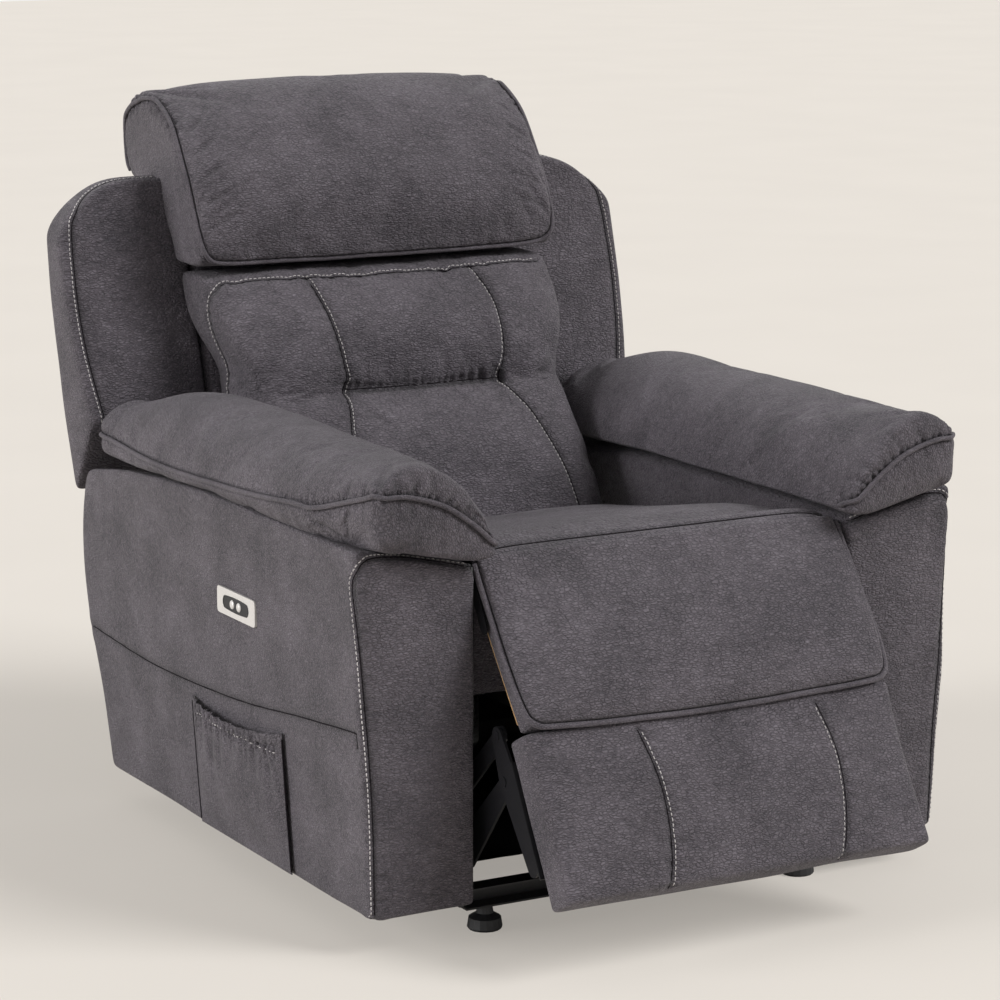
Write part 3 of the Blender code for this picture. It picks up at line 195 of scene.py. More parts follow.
class StageSettings(bpy.types.PropertyGroup):
    """Floor, light and camera."""
    floor: bpy.props.FloatVectorProperty(
        name="Floor", description="Colour of the plain floor", subtype="COLOR", size=3, min=0.0, max=1.0,
        default=linear("#e6e0d8"))
    room: bpy.props.FloatProperty(
        name="Room light", description="Strength of the even light from all round", default=0.36, min=0.0)
    key: bpy.props.FloatProperty(
        name="Key light", description="Strength of the soft light from the front right", default=2.3, min=0.0)
    side: bpy.props.FloatProperty(
        name="Side light", description="Strength of the soft light from the rear left", default=2.4, min=0.0)
    lens: bpy.props.FloatProperty(
        name="Lens", description="Focal length for a 36 mm wide picture, in millimetres", default=126.0,
        min=10.0, unit="CAMERA")


# ---------------------------------------------------------------- small mathematics
def mix(a, b, t):
    """The value t of the way from a to b."""
    return a + (b - a) * t


def smooth(t):
    """A soft step from 0 to 1, held at both ends."""
    t = min(1.0, max(0.0, t))
    return t * t * (3 - 2 * t)


def on_panel(origin, lean, s, t):
    """Side-view point at distance s down a leaning panel and t in front of its back face."""
    y = origin[0] - math.sin(lean) * s - math.cos(lean) * t
    z = origin[1] - math.cos(lean) * s + math.sin(lean) * t
    return y, z


def resample(points, step):
    """A smooth line through points with an even step, as an array."""
    p = np.asarray(points, float)
    p = np.vstack([2 * p[0] - p[1], p, 2 * p[-1] - p[-2]])
    fine = []
    for i in range(1, len(p) - 2):
        for t in np.linspace(0, 1, 24, endpoint=False):
            fine.append(0.5 * (2 * p[i] + (p[i + 1] - p[i - 1]) * t
                               + (2 * p[i - 1] - 5 * p[i] + 4 * p[i + 1] - p[i + 2]) * t ** 2
                               + (3 * p[i] - p[i - 1] - 3 * p[i + 1] + p[i + 2]) * t ** 3))
    fine = np.array(fine + [p[-2]])
    run = run_of(fine)
    places = np.linspace(0, run[-1], max(2, int(round(run[-1] / step)) + 1))
    return np.stack([np.interp(places, run, fine[:, k]) for k in range(3)], 1)


def to_frame(points):
    """Chair coordinates to the frame's."""
    return np.asarray(points, float) + np.array([0.0, SHIFT, 0.0])


def mirrored(points, side):
    """A guide drawn for the viewer's right side, put on the given side."""
    return [(side * x, y, z) for x, y, z in points]


# ---------------------------------------------------------------- mesh helpers
def points_of(piece):
    """The places of a mesh's points, as an array."""
    co = np.empty(len(piece.data.vertices) * 3, np.float32)
    piece.data.vertices.foreach_get("co", co)
    return co.reshape(-1, 3).astype(float)


def normals_of(piece):
    """The normals of a mesh's points, as an array."""
    no = np.empty(len(piece.data.vertices) * 3, np.float32)
    piece.data.vertex_normals.foreach_get("vector", no)
    return no.reshape(-1, 3).astype(float)


def move_points(piece, co):
    """Puts a mesh's points at new places."""
    piece.data.vertices.foreach_set("co", np.asarray(co, np.float32).ravel())
    piece.data.update()


def only(piece):
    """Selects one object and makes it active."""
    bpy.ops.object.select_all(action="DESELECT")
    piece.select_set(True)
    bpy.context.view_layer.objects.active = piece


def smoothed(piece, levels):
    """Applies a subdivision surface of so many levels."""
    only(piece)
    modifier = piece.modifiers.new("smooth", "SUBSURF")
    modifier.levels = levels
    modifier.render_levels = levels
    bpy.ops.object.modifier_apply(modifier=modifier.name)


def cushion(name, cuts, form, levels=3):
    """A closed soft form: a cube bisected into a cage, its points placed by form(u, v, w), then smoothed."""
    bpy.ops.object.select_all(action="DESELECT")
    bpy.ops.mesh.primitive_cube_add(size=2.0)
    piece = bpy.context.object
    piece.name = piece.data.name = name
    bpy.ops.object.mode_set(mode="EDIT")
    for axis, places in enumerate(cuts):
        normal = [float(i == axis) for i in range(3)]
        for place in places:
            bpy.ops.mesh.select_all(action="SELECT")
            bpy.ops.mesh.bisect(plane_co=[place * n for n in normal], plane_no=normal)
    bpy.ops.object.mode_set(mode="OBJECT")
    move_points(piece, to_frame([form(*p) for p in points_of(piece)]))
    outward(piece)
    smoothed(piece, levels)
    bpy.ops.object.shade_smooth()
    return piece


def outward(piece):
    """Turns a closed piece's faces outwards."""
    only(piece)
    bpy.ops.object.mode_set(mode="EDIT")
    bpy.ops.mesh.select_all(action="SELECT")
    bpy.ops.mesh.normals_make_consistent(inside=False)
    bpy.ops.object.mode_set(mode="OBJECT")


def cloth_grid(name, across, along, place):
    """An open sheet: a grid whose points are placed by place(u, v)."""
    bpy.ops.object.select_all(action="DESELECT")
    bpy.ops.mesh.primitive_grid_add(x_subdivisions=across, y_subdivisions=along, size=2.0)
    piece = bpy.context.object
    piece.name = piece.data.name = name
    move_points(piece, to_frame([place(u, v) for u, v, _ in points_of(piece)]))
    return piece


def face_towards(piece, axis, sign):
    """Turns an open sheet over where its faces look away from a side."""
    if normals_of(piece)[:, axis].mean() * sign < 0:
        only(piece)
        bpy.ops.object.mode_set(mode="EDIT")
        bpy.ops.mesh.select_all(action="SELECT")
        bpy.ops.mesh.flip_normals()
        bpy.ops.object.mode_set(mode="OBJECT")


def thicken(piece, thickness, offset=-1.0):
    """Gives a sheet its thickness, shaded smooth."""
    bpy.ops.object.shade_smooth()
    wall = piece.modifiers.new("cloth", "SOLIDIFY")
    wall.thickness = thickness
    wall.offset = offset
    only(piece)
    bpy.ops.object.modifier_apply(modifier=wall.name)


def run_of(line):
    """The length along a line at each of its points."""
    return np.concatenate([[0], np.cumsum(np.linalg.norm(np.diff(line, axis=0), axis=1))])


def tree_of(piece):
    """A search tree of a piece's surface as it stands."""
    bpy.context.view_layer.update()
    return BVHTree.FromObject(piece, bpy.context.evaluated_depsgraph_get())


def lay(tree, guide, towards=None, step=0.003):
    """The points and normals where a guide line lands on a surface, pushed along towards or to the nearest."""
    points, faces = [], []
    for place in resample(to_frame(guide), step):
        place = Vector(place)
        hit = None
        if towards is not None:
            push = Vector(towards).normalized()
            hit = tree.ray_cast(place - push * 0.12, push, 0.3)
        if hit is None or hit[0] is None:
            hit = tree.find_nearest(place)
        points.append(hit[0])
        faces.append(hit[1])
    points, faces = np.array(points), np.array(faces)
    for _ in range(2):
        points[1:-1] = (points[:-2] + 2 * points[1:-1] + points[2:]) / 4
        faces[1:-1] = (faces[:-2] + 2 * faces[1:-1] + faces[2:]) / 4
    faces /= np.linalg.norm(faces, axis=1, keepdims=True)
    return points, faces


def reach(co, line):
    """How far each point is from a line, the length along the line to its nearest place, and that place."""
    run = run_of(line)
    ahead = np.gradient(line, axis=0)
    ahead /= np.linalg.norm(ahead, axis=1, keepdims=True)
    far, along, best = np.full(len(co), 9.0), np.zeros(len(co)), np.zeros(len(co), int)
    low, high = line.min(0) - 0.15, line.max(0) + 0.15
    near = np.flatnonzero(((co > low) & (co < high)).all(1))
    for start in range(0, len(near), 4000):
        part = near[start:start + 4000]
        gap = np.linalg.norm(co[part, None, :] - line[None, :, :], axis=2)
        place = gap.argmin(1)
        best[part] = place
        off = co[part] - line[place]
        slide = np.einsum("ij,ij->i", off, ahead[place])
        along[part] = run[place] + np.clip(slide, -0.003, 0.003)
        far[part] = np.sqrt(np.maximum(0.0, (off ** 2).sum(1) - np.clip(slide, -0.003, 0.003) ** 2))
    return far, along, best


def paint_crease_shade(piece, values):
    """Keeps the strongest painted shade of each point in the piece's seam attribute, by which the cover's
    colour is darkened in grooves and folds.
    """
    layer = piece.data.attributes.get("seam") or piece.data.attributes.new("seam", "FLOAT", "POINT")
    old = np.zeros(len(piece.data.vertices), np.float32)
    layer.data.foreach_get("value", old)
    layer.data.foreach_set("value", np.maximum(old, values.astype(np.float32)))


def groove(piece, line, depth, half, swell=0.0, shade=1.0):
    """Draws the cover in along a seam, with a little swelling beside it, and paints shade along the groove into
    the seam attribute.
    """
    co, no = points_of(piece), normals_of(piece)
    far = reach(co, line)[0]
    pull = np.exp(-(far / half) ** 2)
    puff = np.exp(-((far - 3.0 * half) / (1.6 * half)) ** 2)
    move_points(piece, co + no * (swell * puff - depth * pull)[:, None])
    paint_crease_shade(piece, shade * np.exp(-(far / (0.75 * half)) ** 2))


def gather(piece, line, depth, pitch, length, strength=None, seed=0, width=0.0026, slant=0.0):
    """Sharp small folds that run away from a seam, each with its own place, depth, length and lean; their
    hollows also get painted shade in the seam attribute.
    """
    co, no = points_of(piece), normals_of(piece)
    far, along, best = reach(co, line)
    near = np.flatnonzero(far < 2.4 * length)
    rng = np.random.default_rng(seed)
    total = np.linalg.norm(np.diff(line, axis=0), axis=1).sum()
    move = np.zeros(len(near))
    f, s = far[near], along[near]
    places = np.cumsum(pitch * rng.uniform(0.45, 1.55, int(total / pitch) + 2))
    for place in places[places < total]:
        size = rng.uniform(0.45, 1.0)
        long = length * rng.uniform(0.45, 1.25) * (0.6 + 0.4 * size)
        lean = slant + rng.normal(0.0, 0.16)
        wide = width * (0.8 + 1.1 * f / length) * (0.75 + 0.5 * size)
        bend = 0.0022 * math.sin(place * 700) * np.sin(f / length * 3.0)
        off = s - place - lean * f - bend
        fold = np.exp(-(off / wide) ** 2) - 0.42 * np.exp(-((np.abs(off) - 2.0 * wide) / wide) ** 2)
        move -= depth * size * fold * np.exp(-(f / long) ** 2)
    amount = np.ones(len(near))
    if strength is not None:
        amount = strength(co[near], (co[near] - line[best[near]]))
    move *= amount
    full = np.zeros(len(co))
    full[near] = move
    move_points(piece, co + no * full[:, None])
    paint_crease_shade(piece, np.clip(-full / (1.25 * depth), 0, 0.85))


def soften(piece, amount, size, seed=0.0):
    """Low, uneven swelling, as of wadding under a cover."""
    co, no = points_of(piece), normals_of(piece)
    offset = Vector((seed, seed * 0.7, -seed))
    move = np.array([noise.noise(Vector(p) / size + offset) for p in co])
    move_points(piece, co + no * (amount * move)[:, None])


def crease(piece, line, depth, half, length, shade=0.5):
    """A single fold line that dies out at both ends, with painted shade along it in the seam attribute."""
    co, no = points_of(piece), normals_of(piece)
    far, along, _ = reach(co, line)
    total = np.linalg.norm(np.diff(line, axis=0), axis=1).sum()
    fade = np.clip(np.minimum(along, total - along) / length, 0, 1)
    dip = np.exp(-(far / half) ** 2) - 0.35 * np.exp(-((far - 2.2 * half) / half) ** 2)
    move_points(piece, co - no * (depth * dip * fade)[:, None])
    paint_crease_shade(piece, shade * np.exp(-(far / half) ** 2) * fade)


def settle(piece, held, slack=0.02, pressure=4.0, cap=0.022, frames=20):
    """Lets the cover swell over its filling as cloth while the held points stay on the frame."""
    before = points_of(piece)
    group = piece.vertex_groups.new(name="held")
    group.add([int(i) for i in np.flatnonzero(held)], 1.0, "REPLACE")
    only(piece)
    modifier = piece.modifiers.new("cover", "CLOTH")
    cloth = modifier.settings
    cloth.quality = 4
    cloth.mass = 0.25
    cloth.tension_stiffness = 12
    cloth.compression_stiffness = 8
    cloth.shear_stiffness = 5
    cloth.bending_stiffness = 0.6
    cloth.vertex_group_mass = "held"
    cloth.use_pressure = True
    cloth.uniform_pressure_force = pressure
    cloth.shrink_min = -slack
    cloth.effector_weights.gravity = 0
    modifier.collision_settings.use_collision = False
    modifier.point_cache.frame_start = 1
    modifier.point_cache.frame_end = frames
    for step in range(1, frames + 1):
        bpy.context.scene.frame_set(step)
    bpy.ops.object.modifier_apply(modifier=modifier.name)
    bpy.context.scene.frame_set(1)
    piece.vertex_groups.clear()
    move = points_of(piece) - before
    size = np.linalg.norm(move, axis=1, keepdims=True)
    move_points(piece, before + move * np.minimum(1.0, cap / np.maximum(size, 1e-9)))


def tube(name, lines, radius, sides=8):
    """Round cords along lines, as one mesh with closed ends."""
    bpy.ops.object.select_all(action="DESELECT")
    curve = bpy.data.curves.new(name, "CURVE")
    curve.dimensions = "3D"
    curve.bevel_depth = radius
    curve.bevel_resolution = max(0, (sides - 4) // 2)
    curve.use_fill_caps = True
    for line in lines:
        spline = curve.splines.new("POLY")
        spline.points.add(len(line) - 1)
        spline.points.foreach_set("co", np.hstack([line, np.ones((len(line), 1))]).ravel())
    piece = bpy.data.objects.new(name, curve)
    bpy.context.scene.collection.objects.link(piece)
    only(piece)
    bpy.ops.object.convert(target="MESH")
    bpy.ops.object.mode_set(mode="EDIT")
    bpy.ops.mesh.select_all(action="SELECT")
    bpy.ops.mesh.remove_doubles(threshold=0.00001)
    bpy.ops.mesh.normals_make_consistent(inside=False)
    bpy.ops.object.mode_set(mode="OBJECT")
    bpy.ops.object.shade_smooth()
    return bpy.context.object


def one_stitch(length, radius):
    """The points and faces of one stitch along X: a round thread that dips into the cover at both ends."""
    bpy.ops.object.select_all(action="DESELECT")
    bpy.ops.mesh.primitive_uv_sphere_add(segments=6, ring_count=6, radius=radius, rotation=(0, math.pi / 2, 0))
    model = bpy.context.object
    bpy.ops.object.transform_apply(location=False, rotation=True, scale=False)
    co = points_of(model)
    co[:, 0] += np.sign(np.round(co[:, 0], 7)) * (length / 2 - radius)
    co[:, 2] -= radius * 1.2 * (co[:, 0] / (length / 2)) ** 2
    faces = [tuple(face.vertices) for face in model.data.polygons]
    bpy.data.objects.remove(model)
    return co, faces


def stitch_rows(name, tree, rows, sewing):
    """Topstitching beside seams: rows is a list of (seam points, normals, side to which the stitches lie)."""
    model, faces = one_stitch(sewing.length, sewing.radius)
    all_points, all_faces = [], []
    for line, normals, side in rows:
        ahead = np.gradient(line, axis=0)
        beside = []
        for p, n, t in zip(line, normals, ahead):
            away = np.cross(n, t)
            away /= max(1e-9, np.linalg.norm(away))
            hit = tree.find_nearest(Vector(p + away * side * sewing.offset))
            beside.append((*hit[0], *hit[1]))
        beside = np.array(beside)
        run = run_of(beside[:, :3])
        for place in np.arange(sewing.pitch, run[-1] - sewing.pitch / 2, sewing.pitch):
            here, before, after = (np.array([np.interp(place + d, run, beside[:, k]) for k in range(6)])
                                   for d in (0.0, -0.002, 0.002))
            x = (after - before)[:3]
            x /= max(1e-9, np.linalg.norm(x))
            z = here[3:] - x * np.dot(here[3:], x)
            z /= max(1e-9, np.linalg.norm(z))
            turn = np.stack([x, np.cross(z, x), z])
            start = len(all_points) * len(model)
            all_points.append(model @ turn + here[:3] + z * sewing.radius * 0.7)
            all_faces += [tuple(i + start for i in face) for face in faces]
    mesh = bpy.data.meshes.new(name)
    mesh.from_pydata(np.vstack(all_points), [], all_faces)
    mesh.shade_smooth()
    piece = bpy.data.objects.new(name, mesh)
    bpy.context.scene.collection.objects.link(piece)
    return piece


def dress(piece, body, nodes=(), material=None):
    """Gives a piece its cover and puts it on its body in place of its plain solids."""
    piece.data.materials.clear()
    piece.data.materials.append(material or microfibre())
    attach(piece, body)
    if nodes:
        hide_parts(*nodes)
    return piece


def seams(name, piece, body, lines, sewing, radius=0.0011, sink=0.0004):
    """Painted seam shadows on a piece: dark tubes sunk along its seams for the shade in their grooves, and the
    topstitching beside those that have a side given.
    """
    tree = tree_of(piece)
    laid = [(lay(tree, guide, towards), side) for guide, towards, side in lines]
    # Near-black tubes sunk along the seams: painted shadow of their grooves.
    folds = tube(f"{name}_seams", [points - normals * sink for (points, normals), _ in laid], radius, 6)
    dress(folds, body, material=seam_fold())
    sewn = [(points, normals, side) for (points, normals), side in laid if side]
    if sewn:
        dress(stitch_rows(f"{name}_stitches", tree, sewn, sewing), body, material=thread())


# ---------------------------------------------------------------- materials
def add_node(tree, kind, inputs=None, **settings):
    """Adds a shader node with its settings; inputs gives sockets their values or the sockets they link from."""
    node = tree.nodes.new(kind)
    for key, value in settings.items():
        setattr(node, key, value)
    for key, value in (inputs or {}).items():
        if isinstance(value, bpy.types.NodeSocket):
            tree.links.new(value, node.inputs[key])
        else:
            node.inputs[key].default_value = value
    return node


def new_material(name, **constants):
    """A material with its shader; constants are set on the shader's own sockets."""
    found = bpy.data.materials.get(name)
    if found:
        return found, None, None
    material = bpy.data.materials.new(name)
    material.use_nodes = True
    tree = material.node_tree
    shader = tree.nodes["Principled BSDF"]
    for key, value in constants.items():
        shader.inputs[key.replace("_", " ")].default_value = value
    return material, tree, shader


def ramp(tree, value, stops):
    """A colour ramp through (place, linear colour) stops."""
    node = add_node(tree, "ShaderNodeValToRGB", {0: value})
    band = node.color_ramp
    while len(band.elements) < len(stops):
        band.elements.new(0.5)
    for element, (place, colour) in zip(band.elements, stops):
        element.position = place
        element.color = (*colour, 1.0)
    return node.outputs["Color"]


def cover_cloth(name, fine=1.0, flat=1.0, stretch=(0.50, 0.62, 1.25)):
    """Brushed microfibre suede embossed with a hide grain. To the eye: matt, close-set wrinkles lying wider
    than high, each catching a soft light on its upper edge, over slow clouds where the nap has been rubbed.
    The grain is drawn nearly twice as coarse as the real 2 mm one, so that it shows."""
    cover = bpy.context.scene.armchair_upholstery
    grain, height = cover.grain * fine, cover.grain_height * flat
    dark, middle, light = tuple(cover.colour_dark), tuple(cover.colour), tuple(cover.colour_light)
    material, tree, shader = new_material(name, Roughness=0.62, Sheen_Weight=0.10, Sheen_Roughness=0.5,
                                          Specular_IOR_Level=0.38)
    if tree is None:
        return material
    place = add_node(tree, "ShaderNodeTexCoord").outputs["Object"]
    drift = add_node(tree, "ShaderNodeTexNoise", {"Vector": place, "Scale": 0.16 / grain, "Detail": 3.0})
    bent = add_node(tree, "ShaderNodeMixRGB", {0: 2.2 * grain, 1: place, 2: drift.outputs["Color"]},
                    blend_type="ADD")
    laid = add_node(tree, "ShaderNodeMapping", {"Vector": bent.outputs[0], "Scale": stretch})
    pebble = add_node(tree, "ShaderNodeTexVoronoi", {"Vector": laid.outputs[0], "Scale": 1 / grain,
                                                     "Randomness": 1.0}, feature="DISTANCE_TO_EDGE")
    rise = add_node(tree, "ShaderNodeMapRange",
                    {0: pebble.outputs["Distance"], 1: 0.0, 2: 0.26, 3: 0.0, 4: 1.0},
                    interpolation_type="SMOOTHSTEP")
    wrinkle = add_node(tree, "ShaderNodeTexNoise", {"Vector": laid.outputs[0], "Scale": 0.62 / grain,
                                                    "Detail": 3.0, "Roughness": 0.62, "Distortion": 0.5})
    hide = add_node(tree, "ShaderNodeMath", {0: rise.outputs[0], 1: 0.42}, operation="MULTIPLY")
    relief = add_node(tree, "ShaderNodeMath", {0: wrinkle.outputs["Fac"], 1: 1.25, 2: hide.outputs[0]},
                      operation="MULTIPLY_ADD")
    bump = add_node(tree, "ShaderNodeBump", {"Height": relief.outputs[0], "Distance": height, "Strength": 1.0})
    tree.links.new(bump.outputs[0], shader.inputs["Normal"])

    # The colour follows slow clouds, which are the nap's own uneven tone, and the grain's relief, which paints
    # the crevices darker as painted shade and the raised grain lighter as a painted highlight.
    cloud = add_node(tree, "ShaderNodeTexNoise", {"Vector": place, "Scale": 11.0, "Detail": 4.0,
                                                  "Roughness": 0.62})
    nap_clouds_and_grain_shade = add_node(tree, "ShaderNodeMath", {0: cloud.outputs["Fac"], 1: 0.46}, operation="MULTIPLY")
    nap_clouds_and_grain_shade = add_node(tree, "ShaderNodeMath", {0: relief.outputs[0], 1: 0.34, 2: nap_clouds_and_grain_shade.outputs[0]},
                       operation="MULTIPLY_ADD")
    colour = ramp(tree, nap_clouds_and_grain_shade.outputs[0], [(0.34, dark), (0.54, middle), (0.76, light)])
    # Painted shade: the seam attribute darkens the colour towards 0.30 of the crease tone along seam grooves,
    # gathers and creases.
    seam = add_node(tree, "ShaderNodeAttribute", attribute_name="seam")
    shade = add_node(tree, "ShaderNodeMath", {0: seam.outputs["Fac"], 1: 0.70}, operation="MULTIPLY",
                     use_clamp=True)
    final = add_node(tree, "ShaderNodeMixRGB", {0: shade.outputs[0], 1: colour,
                                                2: (*[c * 0.30 for c in dark], 1.0)})
    tree.links.new(final.outputs[0], shader.inputs["Base Color"])
    return material


def microfibre():
    """The cover as it lies on boards and flat foam."""
    return cover_cloth("brushed_microfibre")


def pad_microfibre():
    """The same cloth drawn over the pillow pads, where its grain opens into rounder pebbles."""
    return cover_cloth("stretched_microfibre", stretch=(1.15, 0.80, 0.80))


def piping_cloth():
    """The same cloth, stretched round a cord: its grain is finer and flatter."""
    return cover_cloth("piping_microfibre", 0.6, 0.5)


def seam_fold():
    """Painted shadow for the groove of a seam: near-black cloth on the tubes laid along seams. To the eye: a
    soft black line with a thread of texture.
    """
    material, tree, shader = new_material("seam_fold", Roughness=0.95, Specular_IOR_Level=0.1)
    if tree is None:
        return material
    place = add_node(tree, "ShaderNodeTexCoord").outputs["Object"]
    speck = add_node(tree, "ShaderNodeTexNoise", {"Vector": place, "Scale": 420.0, "Detail": 2.0})
    colour = ramp(tree, speck.outputs["Fac"], [(0.3, linear("#141114")), (0.7, linear("#231f23"))])
    tree.links.new(colour, shader.inputs["Base Color"])
    return material


def thread():
    """Bonded polyester thread of three twisted plies. To the eye: pale, a little glossy and
    barred by its twist."""
    sewing = bpy.context.scene.armchair_stitches
    material, tree, shader = new_material("bonded_polyester_thread", Roughness=0.55, Sheen_Weight=0.1)
    if tree is None:
        return material
    place = add_node(tree, "ShaderNodeTexCoord").outputs["Object"]
    ply = add_node(tree, "ShaderNodeTexWave", {"Vector": place, "Scale": 260.0, "Distortion": 1.5},
                   bands_direction="DIAGONAL")
    colour = ramp(tree, ply.outputs["Fac"], [(0.1, tuple(c * 0.55 for c in sewing.colour)),
                                             (0.6, tuple(sewing.colour))])
    tree.links.new(colour, shader.inputs["Base Color"])
    bump = add_node(tree, "ShaderNodeBump", {"Height": ply.outputs["Fac"], "Distance": 0.0002})
    tree.links.new(bump.outputs[0], shader.inputs["Normal"])
    return material


def shade_sheet_cloth():
    """Near-black cloth of the sheet under the frame, which is painted shade. To the eye: flat black with a fine
    point-bonded dimple.
    """
    return hard_finish("spunbond_dust_cloth", linear("#0d0d0e"), linear("#171718"), 1200.0, bump=0.0001,
                       rough=(0.8, 0.95), Metallic=0.0, Specular_IOR_Level=0.15)


def hard_finish(name, low, high, scale, stretch=(1, 1, 1), bump=0.0001, spread=(0.35, 0.65), rough=(0.3, 0.5),
                **constants):
    """A hard finish with grain: colour and roughness both follow one stretched noise."""
    material, tree, shader = new_material(name, **constants)
    if tree is None:
        return material
    place = add_node(tree, "ShaderNodeTexCoord").outputs["Object"]
    laid = add_node(tree, "ShaderNodeMapping", {"Vector": place, "Scale": stretch})
    figure = add_node(tree, "ShaderNodeTexNoise", {"Vector": laid.outputs[0], "Scale": scale, "Detail": 5.0,
                                                   "Roughness": 0.6})
    colour = ramp(tree, figure.outputs["Fac"], [(spread[0], low), (spread[1], high)])
    tree.links.new(colour, shader.inputs["Base Color"])
    rub = add_node(tree, "ShaderNodeMapRange", {0: figure.outputs["Fac"], 1: 0.3, 2: 0.7, 3: rough[0],
                                                4: rough[1]})
    tree.links.new(rub.outputs[0], shader.inputs["Roughness"])
    relief = add_node(tree, "ShaderNodeBump", {"Height": figure.outputs["Fac"], "Distance": bump})
    tree.links.new(relief.outputs[0], shader.inputs["Normal"])
    return material


def finishes():
    """One material for each kind of hard part."""
    colours = bpy.context.scene.armchair_finishes
    steel, timber = tuple(colours.steel), tuple(colours.timber)
    plate = tuple(colours.switch)
    return {
        # mild steel, stamped and powder-coated black: a soft gloss with fine orange peel
        "black_steel": hard_finish("black_powder_coat", tuple(c * 0.6 for c in steel), steel, 380.0,
                                   bump=0.00012, rough=(0.28, 0.42), Metallic=0.0),
        # zinc-plated steel: bluish grey with the drag lines of drawing
        "zinc_steel": hard_finish("zinc_plated_steel", linear("#8f9294"), linear("#b9bbbc"), 60.0,
                                  (1, 0.05, 6), 0.00005, rough=(0.25, 0.42), Metallic=1.0),
        # drawn spring wire: dark oil-tempered steel with a dull shine
        "spring_steel": hard_finish("oil_tempered_wire", linear("#3c3d40"), linear("#6d6f72"), 90.0,
                                    rough=(0.3, 0.5), Metallic=1.0),
        # poplar plywood: long pale grain along the board with darker flecks
        "timber": hard_finish("poplar_plywood", tuple(c * 0.62 for c in timber), timber, 34.0,
                              (0.18, 1.6, 2.6), 0.0003, rough=(0.6, 0.8), Metallic=0.0),
        # moulded polyamide: black with a faint spark-eroded texture
        "black_plastic": hard_finish("moulded_polyamide", linear("#101012"), linear("#1c1c1f"), 900.0,
                                     bump=0.00015, rough=(0.45, 0.6), Metallic=0.0),
        # die-cast zinc with satin lacquer: pale, evenly soft shine
        "switch_metal": hard_finish("satin_lacquered_zinc", tuple(c * 0.86 for c in plate), plate, 700.0,
                                    bump=0.00004, rough=(0.28, 0.36), Metallic=0.25),
    }


# ---------------------------------------------------------------- arms
def arm_outer(z):
    """Outer face of the arm box at height z."""
    t = (z - ARM_FOOT) / (ARM_TOP - ARM_FOOT)
    return SEAT_GAP + ARM_WIDTH + ARM_FLARE * t + 0.004 * math.sin(math.pi * min(1.0, max(0.0, t)))


def arm_top(u, y):
    """Height of the arm box under its pad, falling towards the rear."""
    return ARM_TOP + 0.018 * u - 0.022 * smooth((y - 0.05) / 0.40) - 0.018 * smooth((y - 0.36) / 0.12)


def make_arm(word, side, sewing):
    """The arm box's cover: a welted front panel and a long seam along the side."""
    def form(u, v, w):
        t = (w + 1) / 2
        rear = ARM_REAR + ARM_REAR_BULGE * math.sin(math.pi * min(1.0, 0.94 * t) ** 1.8)
        y = mix(ARM_FRONT - 0.008 * (1 - u * u) * (1 - w * w), rear, (v + 1) / 2)
        z = mix(ARM_FOOT, arm_top(u, y), t)
        return side * mix(SEAT_GAP, arm_outer(z), (u + 1) / 2), y, z

    arm = cushion(f"arm_cover_{word}", ((-0.84, 0.0, 0.84), (-0.95, -0.6, -0.25, 0.1, 0.45, 0.75, 0.93),
                                        (-0.93, -0.6, -0.2, 0.2, 0.55, 0.9)), form, 4)
    soften(arm, 0.0018, 0.11, 3.0 * side)
    front = mirrored([(0.438, -0.42, 0.052), (0.4426, -0.42, 0.2166), (0.4543, -0.42, 0.3761),
                      (0.4615, -0.42, 0.480), (0.4600, -0.42, 0.515), (0.4440, -0.42, 0.531),
                      (0.4000, -0.42, 0.528), (0.3400, -0.42, 0.516), (0.2950, -0.42, 0.505)], side)
    along = mirrored([(0.47, 0.467, 0.262), (0.47, 0.245, 0.252), (0.47, -0.028, 0.263),
                      (0.47, -0.248, 0.287), (0.47, -0.392, 0.301), (0.47, -0.402, 0.297),
                      (0.47, -0.405, 0.282)], side)
    lines = [(front, (0, 1, 0), -side), (along, (-side, 0, 0), 0)]
    tree = tree_of(arm)
    for guide, towards, _ in lines:
        line, _ = lay(tree, guide, towards)
        groove(arm, line, 0.0024, 0.0050, 0.0008)
    line, _ = lay(tree_of(arm), front, (0, 1, 0))
    gather(arm, line, 0.0007, 0.020, 0.018, None, 61 + side)
    dress(arm, "base", [f"arm_{word}"])
    seams(f"arm_{word}", arm, "base", lines, sewing)


